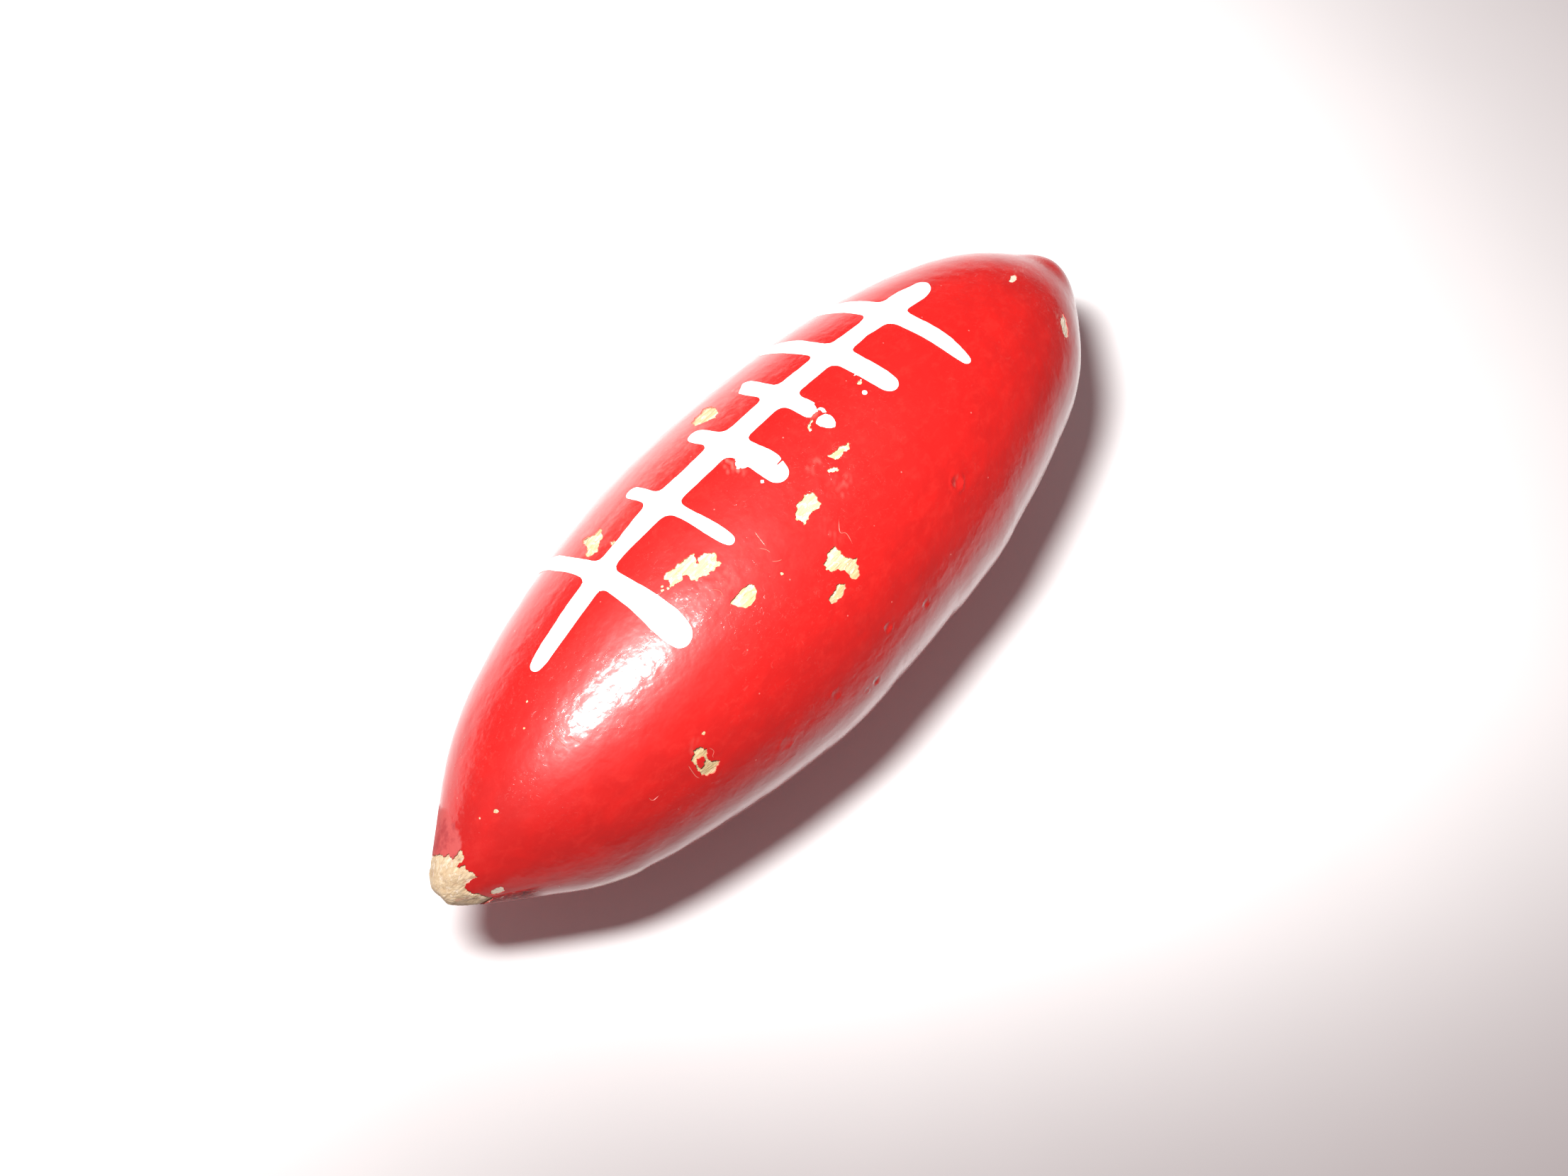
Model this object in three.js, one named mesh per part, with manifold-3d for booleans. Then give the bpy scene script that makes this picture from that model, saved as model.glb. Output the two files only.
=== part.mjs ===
// A small football turned from one piece of wood, brushed with red enamel and
// painted with a white lacing. Millimetres. +X runs along the ball from its worn
// nose to its far tip, +Z is up, and the ball lies on a small flat worn on its
// belly. Every layer of paint is a solid of its own with a real thickness.
import * as THREE from 'three';
import { mergeVertices } from 'three/addons/utils/BufferGeometryUtils.js';
import Module from 'manifold-3d';

const wasm = await Module();
wasm.setup();

// ---------------------------------------------------------------- dimensions
// Half meridian of the painted surface: [distance along the axis, radius].
const PROFILE = [
  [-40.45, 0], [-40.38, 0.52], [-40.15, 1.03], [-39.76, 1.54], [-39.13, 2.15], [-38.04, 3.04],
  [-36.54, 4.23], [-34.64, 5.75], [-32.36, 7.445], [-29.73, 8.975], [-26.77, 10.24],
  [-23.51, 11.335], [-20.0, 12.32], [-16.27, 13.18], [-12.36, 13.88], [-8.32, 14.4],
  [-4.18, 14.7], [0, 14.74], [4.18, 14.62], [8.32, 14.38], [12.36, 14.02],
  [16.27, 13.51], [20.0, 12.81], [23.51, 11.96], [26.77, 11.04], [29.73, 10.0],
  [32.36, 8.8], [34.64, 7.36], [36.54, 5.87], [38.04, 4.55], [39.13, 3.52],
  [39.87, 2.68], [40.36, 1.9], [40.62, 1.05], [40.7, 0],
];
const HALF_LENGTH = 40;        // reference half length of the bow
const SQUASH = 0.9695;         // height over width of the section
const BOW_Z = -0.823;          // the belly hangs below the straight axis
const BOW_Y = -0.215;
const AXIS_HEIGHT = 14.837;    // axis above the resting plane, at the tips' level
const SHIFT_X = -0.235;        // centres the ball on the origin
const SHIFT_Y = 0;
const SHIFT_BOW_Y = 0.215;

const COAT = 0.2;              // enamel thickness
const COAT_GAP = 0.02;         // between wood and enamel
const PAINT = 0.14;            // thickness of a white stroke at its middle
const PAINT_EDGE = 0.05;       // and at its edge
const PAINT_GAP = 0.04;        // between enamel and a white stroke
const OVER_SEAM = 0.17;        // how far a cross stroke climbs over the seam stroke
const AROUND = 36;             // facets round the ball

// Where the wood is bare at the nose: the enamel's ragged edge, axial position
// against the angle from the top towards +Y, in steps of 10 degrees.
const NOSE_EDGE = [
  -37.8, -37.45, -37.37, -37.98, -38.25, -38.3, -38.42, -38.53, -38.4, -38.2, -38.3, -38.6,
  -38.5, -38.3, -38.1, -38.2, -38.4, -38.5, -38.3, -38.1, -37.9, -38.1, -38.4, -38.5,
  -38.3, -38.2, -38.3, -38.5, -38.5, -37.8, -38.05, -38.31, -38.65, -38.84, -38.0, -37.8,
];

// Chips through the enamel, outlined as [axial position, degrees from the top].
const CHIPS = {
  a: [[0.39, 50.8], [0.79, 49.7], [1.19, 51.6], [1.69, 53.6], [2.19, 57.9], [2.39, 62.6], [1.79, 61.8], [0.99, 62.1], [0.59, 60.2], [-0.11, 57.8], [-0.41, 55.9], [0.29, 55.5], [0.39, 53.2]],
  b: [[-15.22, 50.6], [-15.03, 48.4], [-14.63, 47.1], [-14.24, 48.3], [-13.65, 49.9], [-13.06, 51], [-12.56, 53], [-12.46, 54.7], [-12.86, 55.2], [-13.35, 56.5], [-13.65, 59.1], [-13.94, 59.7], [-14.24, 58], [-14.44, 55.6], [-14.63, 53.1]],
  b_small: [[-13.75, 42.9], [-13.25, 42.9], [-13.15, 44.4], [-13.45, 45.7], [-13.65, 44.2]],
  c: [[-12.56, 14], [-12.56, 11.1], [-12.36, 9.9], [-11.67, 9.3], [-11.08, 9], [-10.88, 8.2], [-10.38, 8], [-10.04, 8.5], [-10.19, 10], [-9.89, 10.9], [-9.74, 12.2], [-10.19, 13.7], [-10.38, 14.7], [-10.78, 14.8], [-11.18, 13.5], [-11.33, 14.3], [-11.08, 15.1], [-10.78, 16.6], [-11.18, 17.6], [-11.67, 18.1], [-12.36, 18.6], [-12.96, 18.9], [-13.65, 19.2], [-13.85, 18.3], [-13.65, 17.1], [-13.94, 15.7], [-14.04, 14.9], [-13.75, 14.5], [-13.15, 13.8], [-12.76, 14.8]],
  d: [[-11.94, -2.3], [-11.1, -2.3], [-9.97, -2.5], [-9.59, -3.7], [-9.86, -5.7], [-10.67, -7.4], [-11.4, -6.9], [-11.71, -5.4]],
  e: [[-2.54, 4.3], [-1.39, 5.0], [-0.67, 3.6], [-0.7, 1.8], [-0.82, -1.3], [-1.52, -1.0], [-2.3, -0.6], [-3.09, -1.8], [-3.3, -1.7], [-3.2, 0.1], [-3.4, 1.8], [-2.86, 3.0]],
  f: [[2.64, 8.8], [3.74, 7.8], [4.82, 6.9], [4.89, 5.9], [4.46, 5.1], [3.88, 5.9], [3.5, 5.2], [2.82, 5.7]],
  g: [[1.5, 5.2], [2.12, 4.6], [2.46, 3.7], [2.22, 2.6], [1.78, 3.5]],
  h: [[-4.37, -14.1], [-3.62, -12.9], [-2.63, -12.8], [-2.5, -15.0], [-2.58, -16.7], [-2.4, -18.4], [-1.74, -20.0], [-2.12, -21.6], [-2.33, -24.0], [-2.94, -25.1], [-3.37, -23.1], [-3.28, -20.9], [-3.66, -18.5], [-4.31, -18.0], [-4.49, -16.2]],
  i: [[-4.49, -21.9], [-3.95, -23.7], [-4.41, -25.0], [-5.15, -25.6], [-6.02, -24.6], [-5.94, -23.5], [-5.14, -22.5]],
  j: [[-21.66, -33.5], [-21.23, -31.3], [-20.9, -31.5], [-20.6, -32.4], [-20.3, -34.4], [-20.45, -36.2], [-20.66, -37.1], [-20.56, -39.9], [-20.28, -40.6], [-20.01, -41.8], [-20.22, -43.2], [-20.61, -44.6], [-20.98, -45.0], [-21.43, -44.3], [-21.71, -42.6], [-21.69, -40.5], [-21.67, -37.1], [-21.74, -35.3]],
  l: [[9.75, 19.8], [10.15, 19.9], [10.46, 19.4], [10.36, 18.5], [9.88, 18.8]],
  m: [[3.49, 18], [3.69, 18], [3.99, 19.3], [4.49, 20.1], [4.59, 20.9], [4.29, 20.6], [3.89, 20.4], [3.59, 19.5]],
  nose: [[-37.7, -50.2], [-37.5, -48.3], [-37.15, -47.9], [-36.9, -51.2], [-36.95, -57.4], [-37.2, -58.6], [-37.48, -58.2], [-37.76, -57.2], [-37.86, -54.6]],
  far_top: [[30.05, 11.7], [30.4, 10.7], [30.9, 10.6], [31.5, 11.9], [31.75, 13.8], [31.35, 14.6], [30.85, 13.9], [30.4, 13.0]],
  far_side: [[30.8, -30.6], [31.25, -33.6], [32.05, -31.0], [32.75, -26.4], [32.75, -22.8], [31.95, -22.4], [31.2, -26.0]],
};
const ISLAND = [[-21.4, -35.3], [-21.02, -35.7], [-20.86, -36.7], [-20.88, -37.7], [-21.08, -37.9], [-21.14, -39.1], [-21.35, -39.4], [-21.54, -39.5], [-21.58, -38.6], [-21.56, -37.1], [-21.52, -36.2]];

// White strokes: centre line as [axial position, degrees from the top, width].
const SEAM = [
  [-24.38, 37.8, 1.1], [-23.76, 37.8, 1.42], [-22.99, 38, 1.53], [-21.09, 38.2, 1.67], [-19.65, 38.5, 1.78], [-17.77, 38.7, 1.82], [-16.3, 39.1, 1.72], [-14.53, 39.5, 1.6],
  [-13.06, 39.2, 1.66], [-11.57, 39, 1.96], [-10.09, 38.8, 2.15], [-8.6, 38.2, 2.2], [-7.1, 37.8, 2.2], [-5.61, 37.2, 2.12], [-4.11, 37, 2.16], [-2.61, 36.8, 2.18],
  [-1.11, 36.4, 2.08], [0.39, 36.2, 2], [3.39, 36.2, 1.98], [6.39, 36, 2.04], [9.38, 35.7, 2], [11.57, 35.5, 1.98], [13.85, 35.3, 1.88], [14.94, 35.4, 1.73],
  [16.03, 35.2, 1.88], [17.12, 35.5, 2.15], [18.4, 36, 2.4], [20.45, 36.3, 2.54], [21.7, 36.4, 2.55], [22.5, 36.2, 2.35], [23.17, 36.6, 2], [23.75, 37.7, 1.45],
];
const BARS = {
  lace_bar_1: [[17.66, 74.2, 1.9], [17.76, 67.3, 2], [17.91, 59.5, 2.15], [18.15, 52.2, 2.25], [18.32, 44.8, 2.3], [18.5, 36, 2.2], [18.6, 29, 1.98], [18.65, 24.1, 1.86], [18.79, 17.5, 1.8], [18.89, 10.8, 1.72], [18.89, 5.5, 1.52], [18.91, 2, 1.28], [18.93, -0.7, 1]],
  lace_bar_2: [[10.77, 66.4, 1.65], [10.87, 60.3, 1.85], [11.05, 53.1, 2], [11.13, 48.2, 1.92], [11.24, 44.1, 1.82], [11.42, 36, 1.9], [11.57, 29.5, 2.05], [11.58, 24.2, 2], [11.65, 18.9, 1.98], [11.7, 15.2, 1.92], [11.72, 12.1, 1.75]],
  lace_bar_3: [[4.92, 51.6, 1.75], [4.92, 48.2, 1.83], [4.97, 44.7, 1.76], [5.03, 41.5, 1.7], [5.04, 36, 1.65], [5.11, 29.7, 1.6], [5.16, 26.5, 1.64], [5.19, 23.8, 1.66]],
  lace_bar_4: [[-1.65, 49.5, 1.5], [-1.59, 47.3, 1.64], [-1.51, 43.8, 1.64], [-1.36, 36, 1.9], [-1.26, 29.8, 2.08], [-1.21, 26.3, 2.16], [-1.16, 23.1, 2.28], [-1.17, 20.4, 2.34], [-1.29, 17.5, 2.12], [-1.33, 16.1, 1.96]],
  lace_bar_5: [[-8.68, 53.2, 1.25], [-8.66, 50, 1.3], [-8.65, 46.4, 1.28], [-8.7, 41.6, 1.3], [-8.7, 36, 1.3], [-8.61, 31.2, 1.12], [-8.56, 26.8, 1.03], [-8.5, 23.2, 1.09], [-8.43, 19.2, 1.18], [-8.37, 16, 1.19], [-8.31, 13.2, 1.06], [-8.27, 11.6, 0.88]],
  lace_bar_6: [[-16.2, 82.2, 1.25], [-16.22, 75.3, 1.4], [-16.24, 68.3, 1.45], [-16.34, 61.3, 1.46], [-16.31, 55.2, 1.4], [-16.26, 50, 1.48], [-16.22, 45.2, 1.62], [-16.2, 38.6, 1.7], [-16.18, 31.6, 1.76], [-16.2, 25.5, 1.88], [-16.18, 20.3, 2.05], [-16.2, 15.1, 2.25], [-16.22, 9.8, 2.42], [-16.24, 5.5, 2.4], [-16.25, 2.4, 2.1]],
};
const BAR_3_TIP = [[4.41, 18.7], [4.44, 16.9], [4.64, 15.2], [4.89, 14], [5.17, 13.5], [5.49, 14.3], [5.74, 15.9], [5.79, 17.4], [5.64, 18.8], [5.37, 19.2], [5.04, 19.5], [4.69, 19.3]];
const DROP = { at: [9.53, 15.0], radius: 0.22, height: 0.1 };

// ------------------------------------------------------------------- surface
const curve = new THREE.SplineCurve(PROFILE.map(([t, r]) => new THREE.Vector2(t, r)));
const DEG = Math.PI / 180;

// Point and outward normal of the half meridian at curve parameter u.
function meridian(u) {
  const p = curve.getPoint(u);
  if (u <= 0) return { t: p.x, r: 0, nt: -1, nr: 0 };
  if (u >= 1) return { t: p.x, r: 0, nt: 1, nr: 0 };
  const a = curve.getPoint(Math.max(0, u - 1e-4));
  const b = curve.getPoint(Math.min(1, u + 1e-4));
  const dx = b.x - a.x, dy = b.y - a.y, q = Math.hypot(dx, dy);
  return { t: p.x, r: p.y, nt: -dy / q, nr: dx / q };
}

function parameterAt(t) {
  let lo = 0, hi = 1;
  for (let k = 0; k < 40; k++) {
    const mid = (lo + hi) / 2;
    if (curve.getPoint(mid).x < t) lo = mid; else hi = mid;
  }
  return (lo + hi) / 2;
}

// A point of the ball: curve parameter, angle from the top towards +Y, distance
// outside the painted surface. floor is the lowest height the layer may reach.
function place(u, phi, out = 0, floor = -Infinity) {
  const m = meridian(u);
  const t = m.t + out * m.nt, r = Math.max(0, m.r + out * m.nr), s = t / HALF_LENGTH;
  return new THREE.Vector3(
    t + SHIFT_X,
    r * Math.sin(phi) + BOW_Y * (1 - s * s) + SHIFT_BOW_Y + SHIFT_Y,
    Math.max(floor, SQUASH * r * Math.cos(phi) + BOW_Z * (1 - s * s) + AXIS_HEIGHT),
  );
}
const onBall = ([t, deg], out = 0) => place(parameterAt(t), deg * DEG, out);

function outward(t, deg) {
  const u = parameterAt(t), e = 1e-3;
  const a = place(u + e, deg * DEG).sub(place(u - e, deg * DEG));
  const b = place(u, deg * DEG + e).sub(place(u, deg * DEG - e));
  const n = a.cross(b).normalize();
  return n.dot(onBall([t, deg]).sub(new THREE.Vector3(t + SHIFT_X, 0, AXIS_HEIGHT))) < 0 ? n.negate() : n;
}

// ------------------------------------------------------------------- helpers
// Merges shared corners, drops collapsed triangles and turns the faces outward.
function tidy(geometry) {
  let g = geometry.clone();
  for (const name of ['normal', 'uv']) if (g.hasAttribute(name)) g.deleteAttribute(name);
  g = mergeVertices(g, 2e-4);
  const p = g.attributes.position, index = g.index.array, kept = [];
  const a = new THREE.Vector3(), b = new THREE.Vector3(), c = new THREE.Vector3();
  let volume = 0;
  for (let k = 0; k < index.length; k += 3) {
    const [i, j, l] = [index[k], index[k + 1], index[k + 2]];
    if (i === j || j === l || l === i) continue;
    kept.push(i, j, l);
    a.fromBufferAttribute(p, i); b.fromBufferAttribute(p, j); c.fromBufferAttribute(p, l);
    volume += a.dot(b.cross(c));
  }
  if (volume < 0) for (let k = 0; k < kept.length; k += 3) [kept[k], kept[k + 1]] = [kept[k + 1], kept[k]];
  g.setIndex(kept);
  return g;
}

const toSolid = (geometry) => {
  const g = tidy(geometry);
  return new wasm.Manifold(new wasm.Mesh({
    numProp: 3,
    vertProperties: new Float32Array(g.attributes.position.array),
    triVerts: new Uint32Array(g.index.array),
  }));
};

function toGeometry(solid) {
  const mesh = solid.getMesh();
  const g = new THREE.BufferGeometry();
  g.setAttribute('position', new THREE.BufferAttribute(new Float32Array(mesh.vertProperties), 3));
  g.setIndex(Array.from(mesh.triVerts));
  return g;
}

// A solid of revolution about the ball's axis: rings is a list of { u, out, floor }.
function revolve(rings) {
  const points = rings.map((ring) => {
    const m = meridian(ring.u);
    return new THREE.Vector2(Math.max(0, m.r + ring.out * m.nr), m.t + ring.out * m.nt);
  });
  const g = new THREE.LatheGeometry(points, AROUND);
  const p = g.attributes.position;
  for (let k = 0; k < p.count; k++) {
    const ring = rings[k % rings.length], step = Math.floor(k / rings.length) % AROUND;
    const v = place(ring.u, (step / AROUND) * 2 * Math.PI, ring.out, ring.floor);
    p.setXYZ(k, v.x, v.y, v.z);
  }
  return g;
}

// The space round the bare nose: a thick cap whose rim is the ragged enamel edge.
function noseCap() {
  const mean = NOSE_EDGE.reduce((a, b) => a + b, 0) / NOSE_EDGE.length;
  const points = [[0, -60], [9, -60], [9, mean], [1.4, mean], [0, mean]].map(([r, t]) => new THREE.Vector2(r, t));
  const g = new THREE.LatheGeometry(points, AROUND);
  const p = g.attributes.position;
  for (let k = 0; k < p.count; k++) {
    const row = k % points.length, step = Math.floor(k / points.length) % AROUND;
    const phi = (step / AROUND) * 2 * Math.PI;
    if (row === 0 || row === 4) {
      p.setXYZ(k, points[row].y, 0, AXIS_HEIGHT);
    } else if (row === 1) {
      p.setXYZ(k, -60, 9 * Math.sin(phi), AXIS_HEIGHT + 9 * Math.cos(phi));
    } else {
      const v = place(parameterAt(NOSE_EDGE[step]), phi, row === 2 ? 2 : -1.2);
      p.setXYZ(k, v.x, v.y, v.z);
    }
  }
  return g;
}

// A straight-sided block over an outline on the ball, from below to above it.
function block(outline, below, above) {
  const t0 = outline.reduce((a, q) => a + q[0], 0) / outline.length;
  const d0 = outline.reduce((a, q) => a + q[1], 0) / outline.length;
  const origin = onBall([t0, d0]), n = outward(t0, d0);
  const e1 = new THREE.Vector3(1, 0, 0).addScaledVector(n, -n.x).normalize();
  const e2 = n.clone().cross(e1);
  const flat = outline.map((q) => {
    const v = onBall(q).sub(origin);
    return new THREE.Vector2(v.dot(e1), v.dot(e2));
  });
  const g = new THREE.ExtrudeGeometry(new THREE.Shape(flat), { depth: below + above, bevelEnabled: false });
  g.applyMatrix4(new THREE.Matrix4().makeBasis(e1, e2, n).setPosition(origin.addScaledVector(n, -below)));
  return g;
}

// A bead of paint brushed along a centre line, with rounded ends. over(t, deg)
// says how far the bead rides above the enamel at a point.
function stroke(line, spacing, over = () => 0, extra = []) {
  const centre = new THREE.CatmullRomCurve3(line.map(([t, d, w]) => new THREE.Vector3(t, d, w)), false, 'centripetal');
  const at = (f) => centre.getPoint(Math.min(1, Math.max(0, f)));
  // arc length on the ball, by small steps
  const fine = 400, run = [0];
  for (let k = 1; k <= fine; k++) {
    const a = at((k - 1) / fine), b = at(k / fine);
    run.push(run[k - 1] + onBall([a.x, a.y]).distanceTo(onBall([b.x, b.y])));
  }
  const length = run[fine];
  const fraction = (d) => {
    let k = run.findIndex((x) => x >= d);
    if (k <= 0) k = 1;
    return (k - 1 + (d - run[k - 1]) / (run[k] - run[k - 1])) / fine;
  };
  const count = Math.ceil(length / spacing);
  let stops = Array.from({ length: count + 1 }, (_, k) => (k / count) * length);
  for (const d of extra.map((f) => f(at, run, fine)).flat()) {
    stops = stops.filter((x) => Math.abs(x - d) > 0.12 || x === 0 || x === length);
    stops.push(d);
  }
  stops.sort((a, b) => a - b);
  const stations = stops.map((d) => {
    const f = fraction(Math.min(d, length - 1e-6)), p = at(f), a = at(f - 0.01), b = at(f + 0.01);
    const u = parameterAt(p.x), r = meridian(u).r;
    const q = 1 / Math.max(0.2, meridian(u).nr);
    const tx = (b.x - a.x) * q, ty = (b.y - a.y) * DEG * r, m = Math.hypot(tx, ty);
    return { t: p.x, d: p.y, w: p.z, tx: tx / m, ty: ty / m, r, q };
  });
  const cap = (s, sign) => [0.45, 0.8, 0.97].map((f) => {
    const h = s.w / 2;
    return { ...s, t: s.t + (sign * s.tx * f * h) / s.q, d: s.d + (sign * s.ty * f * h) / s.r / DEG, w: Math.max(0.22, s.w * Math.sqrt(1 - f * f)) };
  });
  const rows = [...cap(stations[0], -1).reverse(), ...stations, ...cap(stations[stations.length - 1], 1)];
  const top = [[-1, PAINT_EDGE], [-0.62, PAINT * 0.86], [0, PAINT], [0.62, PAINT * 0.86], [1, PAINT_EDGE]];
  const bottom = [[1, 0], [0, 0], [-1, 0]];
  const ring = (s) => [...top, ...bottom].map(([v, h]) => {
    const side = (v * s.w) / 2;
    const t = s.t - (s.ty * side) / s.q, d = s.d + (s.tx * side) / s.r / DEG;
    return onBall([t, d], PAINT_GAP + over(t, d) + h);
  });
  const positions = [], index = [], n = top.length + bottom.length;
  for (const s of rows) for (const v of ring(s)) positions.push(v.x, v.y, v.z);
  for (let k = 0; k + 1 < rows.length; k++) {
    for (let c = 0; c < n; c++) {
      const a = k * n + c, b = k * n + ((c + 1) % n), e = a + n, f = b + n;
      index.push(a, b, f, a, f, e);
    }
  }
  const fan = (k, flip) => {
    const o = k * n;
    const tris = [[0, 1, 7], [1, 2, 6], [1, 6, 7], [2, 3, 6], [3, 4, 5], [3, 5, 6]];
    for (const [a, b, c] of tris) index.push(o + a, o + (flip ? c : b), o + (flip ? b : c));
  };
  fan(0, true);
  fan(rows.length - 1, false);
  const g = new THREE.BufferGeometry();
  g.setAttribute('position', new THREE.Float32BufferAttribute(positions, 3));
  g.setIndex(index);
  return g;
}

// -------------------------------------------------------------------- pieces
// Stations along the meridian, closer together towards the tips.
const STATIONS = [-40.38, -40.05, -39.5, -38.8, -37.9, -36.9, -35.7, -34.3, -32.7, -30.8, -28.6, -26, -23, -19.6, -16, -12, -8, -4, 0, 4, 8, 12, 16, 19.6, 23, 26, 28.7, 31, 33, 34.8, 36.4, 37.8, 38.9, 39.7, 40.25, 40.55].map(parameterAt);
const skin = (depth) => revolve([0, ...STATIONS, 1].map((u) => ({ u, out: -depth, floor: depth })));

const wood = skin(COAT + COAT_GAP);
let coat = toSolid(skin(0)).subtract(toSolid(skin(COAT))).subtract(toSolid(noseCap()));

const island = coat.intersect(toSolid(block(ISLAND, 1.2, 1.2)));
for (const outline of Object.values(CHIPS)) coat = coat.subtract(toSolid(block(outline, 1.2, 1.2)));

// Angle and half width of the seam stroke at an axial position.
function seamAt(t) {
  const s = [...SEAM].sort((a, b) => a[0] - b[0]);
  let k = s.findIndex((q) => q[0] >= t);
  if (k <= 0) k = 1;
  const f = (t - s[k - 1][0]) / (s[k][0] - s[k - 1][0]);
  return { d: s[k - 1][1] + f * (s[k][1] - s[k - 1][1]), half: (s[k - 1][2] + f * (s[k][2] - s[k - 1][2])) / 2 };
}
const CLIMB_IN = 0.14, CLIMB_OUT = 0.45;   // the climb beside the seam stroke
function overSeam(t, d) {
  const s = seamAt(t), away = Math.abs(d - s.d) * DEG * meridian(parameterAt(t)).r - s.half;
  return OVER_SEAM * Math.min(1, Math.max(0, (CLIMB_OUT - away) / (CLIMB_OUT - CLIMB_IN)));
}
// Stops a cross stroke needs where it climbs on and off the seam stroke.
function climbs(at, run, fine) {
  const found = [], value = (k, level) => {
    const p = at(k / fine), s = seamAt(p.x);
    return Math.abs(p.y - s.d) * DEG * meridian(parameterAt(p.x)).r - s.half - level;
  };
  for (const level of [CLIMB_IN, CLIMB_OUT]) {
    for (let k = 1; k <= fine; k++) {
      const a = value(k - 1, level), b = value(k, level);
      if (a * b < 0) found.push(run[k - 1] + ((run[k] - run[k - 1]) * a) / (a - b));
    }
  }
  return found;
}

const drop = new THREE.CylinderGeometry(DROP.radius * 0.55, DROP.radius, DROP.height, 10);
const dropNormal = outward(...DROP.at);
drop.applyQuaternion(new THREE.Quaternion().setFromUnitVectors(new THREE.Vector3(0, 1, 0), dropNormal));
drop.translate(...onBall(DROP.at, PAINT_GAP + DROP.height / 2).toArray());

// ------------------------------------------------------------------ assembly
const RED = { color: 0xfe362a, roughness: 0.22, metalness: 0 };
const WHITE = { color: 0xfdfcf8, roughness: 0.35, metalness: 0 };
const BARE = { color: 0xe0c096, roughness: 0.8, metalness: 0 };

const ball = new THREE.Group();
const add = (name, geometry, look) => {
  const mesh = new THREE.Mesh(tidy(geometry), new THREE.MeshStandardMaterial(look));
  mesh.name = name;
  ball.add(mesh);
};

add('wood_core', wood, BARE);
add('red_enamel_coat', toGeometry(coat), RED);
add('red_enamel_island', toGeometry(island), RED);
add('lace_seam_stroke', stroke(SEAM, 1.6), WHITE);
for (const [name, line] of Object.entries(BARS)) add(name, stroke(line, 1.3, overSeam, [climbs]), WHITE);
add('lace_bar_3_tip', block(BAR_3_TIP, -0.05, 0.05 + PAINT), WHITE);
add('white_paint_drop', drop, WHITE);

export default ball;
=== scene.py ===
import math

import bmesh
import bpy
import numpy as np
from mathutils import Matrix, Vector


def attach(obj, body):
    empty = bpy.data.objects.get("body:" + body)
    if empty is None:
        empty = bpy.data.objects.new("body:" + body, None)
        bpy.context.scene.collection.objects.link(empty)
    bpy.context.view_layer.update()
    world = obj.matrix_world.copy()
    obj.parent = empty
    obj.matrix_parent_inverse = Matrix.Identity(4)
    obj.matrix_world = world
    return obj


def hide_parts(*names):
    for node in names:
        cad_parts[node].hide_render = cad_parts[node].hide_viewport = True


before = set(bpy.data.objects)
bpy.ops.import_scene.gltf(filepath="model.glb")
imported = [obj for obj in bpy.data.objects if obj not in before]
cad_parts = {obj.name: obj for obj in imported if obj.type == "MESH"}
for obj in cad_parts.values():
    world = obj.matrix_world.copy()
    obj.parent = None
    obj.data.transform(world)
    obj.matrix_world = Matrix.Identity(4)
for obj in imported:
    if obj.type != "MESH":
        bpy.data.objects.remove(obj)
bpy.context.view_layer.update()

MM = 0.001

# ------------------------------------------------------------------ the shape
# Half meridian of the enamel, mm: [distance along the axis, radius].
PROFILE = np.array([
    [-40.45, 0], [-40.38, 0.52], [-40.15, 1.03], [-39.76, 1.54], [-39.13, 2.15], [-38.04, 3.04],
    [-36.54, 4.23], [-34.64, 5.75], [-32.36, 7.445], [-29.73, 8.975], [-26.77, 10.24],
    [-23.51, 11.335], [-20.0, 12.32], [-16.27, 13.18], [-12.36, 13.88], [-8.32, 14.4],
    [-4.18, 14.7], [0, 14.74], [4.18, 14.62], [8.32, 14.38], [12.36, 14.02],
    [16.27, 13.51], [20.0, 12.81], [23.51, 11.96], [26.77, 11.04], [29.73, 10.0],
    [32.36, 8.8], [34.64, 7.36], [36.54, 5.87], [38.04, 4.55], [39.13, 3.52],
    [39.87, 2.68], [40.36, 1.9], [40.62, 1.05], [40.7, 0]])
HALF_LENGTH, SQUASH, BOW_Z, BOW_Y = 40.0, 0.9695, -0.823, -0.215
AXIS_HEIGHT, SHIFT_X, SHIFT_BOW_Y = 14.837, -0.235, 0.215
COAT = 0.13          # enamel thickness shown at the chips
WOOD = 0.14          # wood surface below the enamel surface


def catmull(points, per):
    """Uniform Catmull-Rom curve through points, per steps to a span."""
    p = np.vstack([points[:1], points, points[-1:]])
    out = []
    w = np.linspace(0, 1, per, endpoint=False)[:, None]
    for k in range(1, len(p) - 2):
        p0, p1, p2, p3 = p[k - 1], p[k], p[k + 1], p[k + 2]
        v0, v1 = (p2 - p0) / 2, (p3 - p1) / 2
        out.append((2 * p1 - 2 * p2 + v0 + v1) * w ** 3 + (-3 * p1 + 3 * p2 - 2 * v0 - v1) * w ** 2 + v0 * w + p1)
    return np.vstack(out + [points[-1:]])


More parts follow.
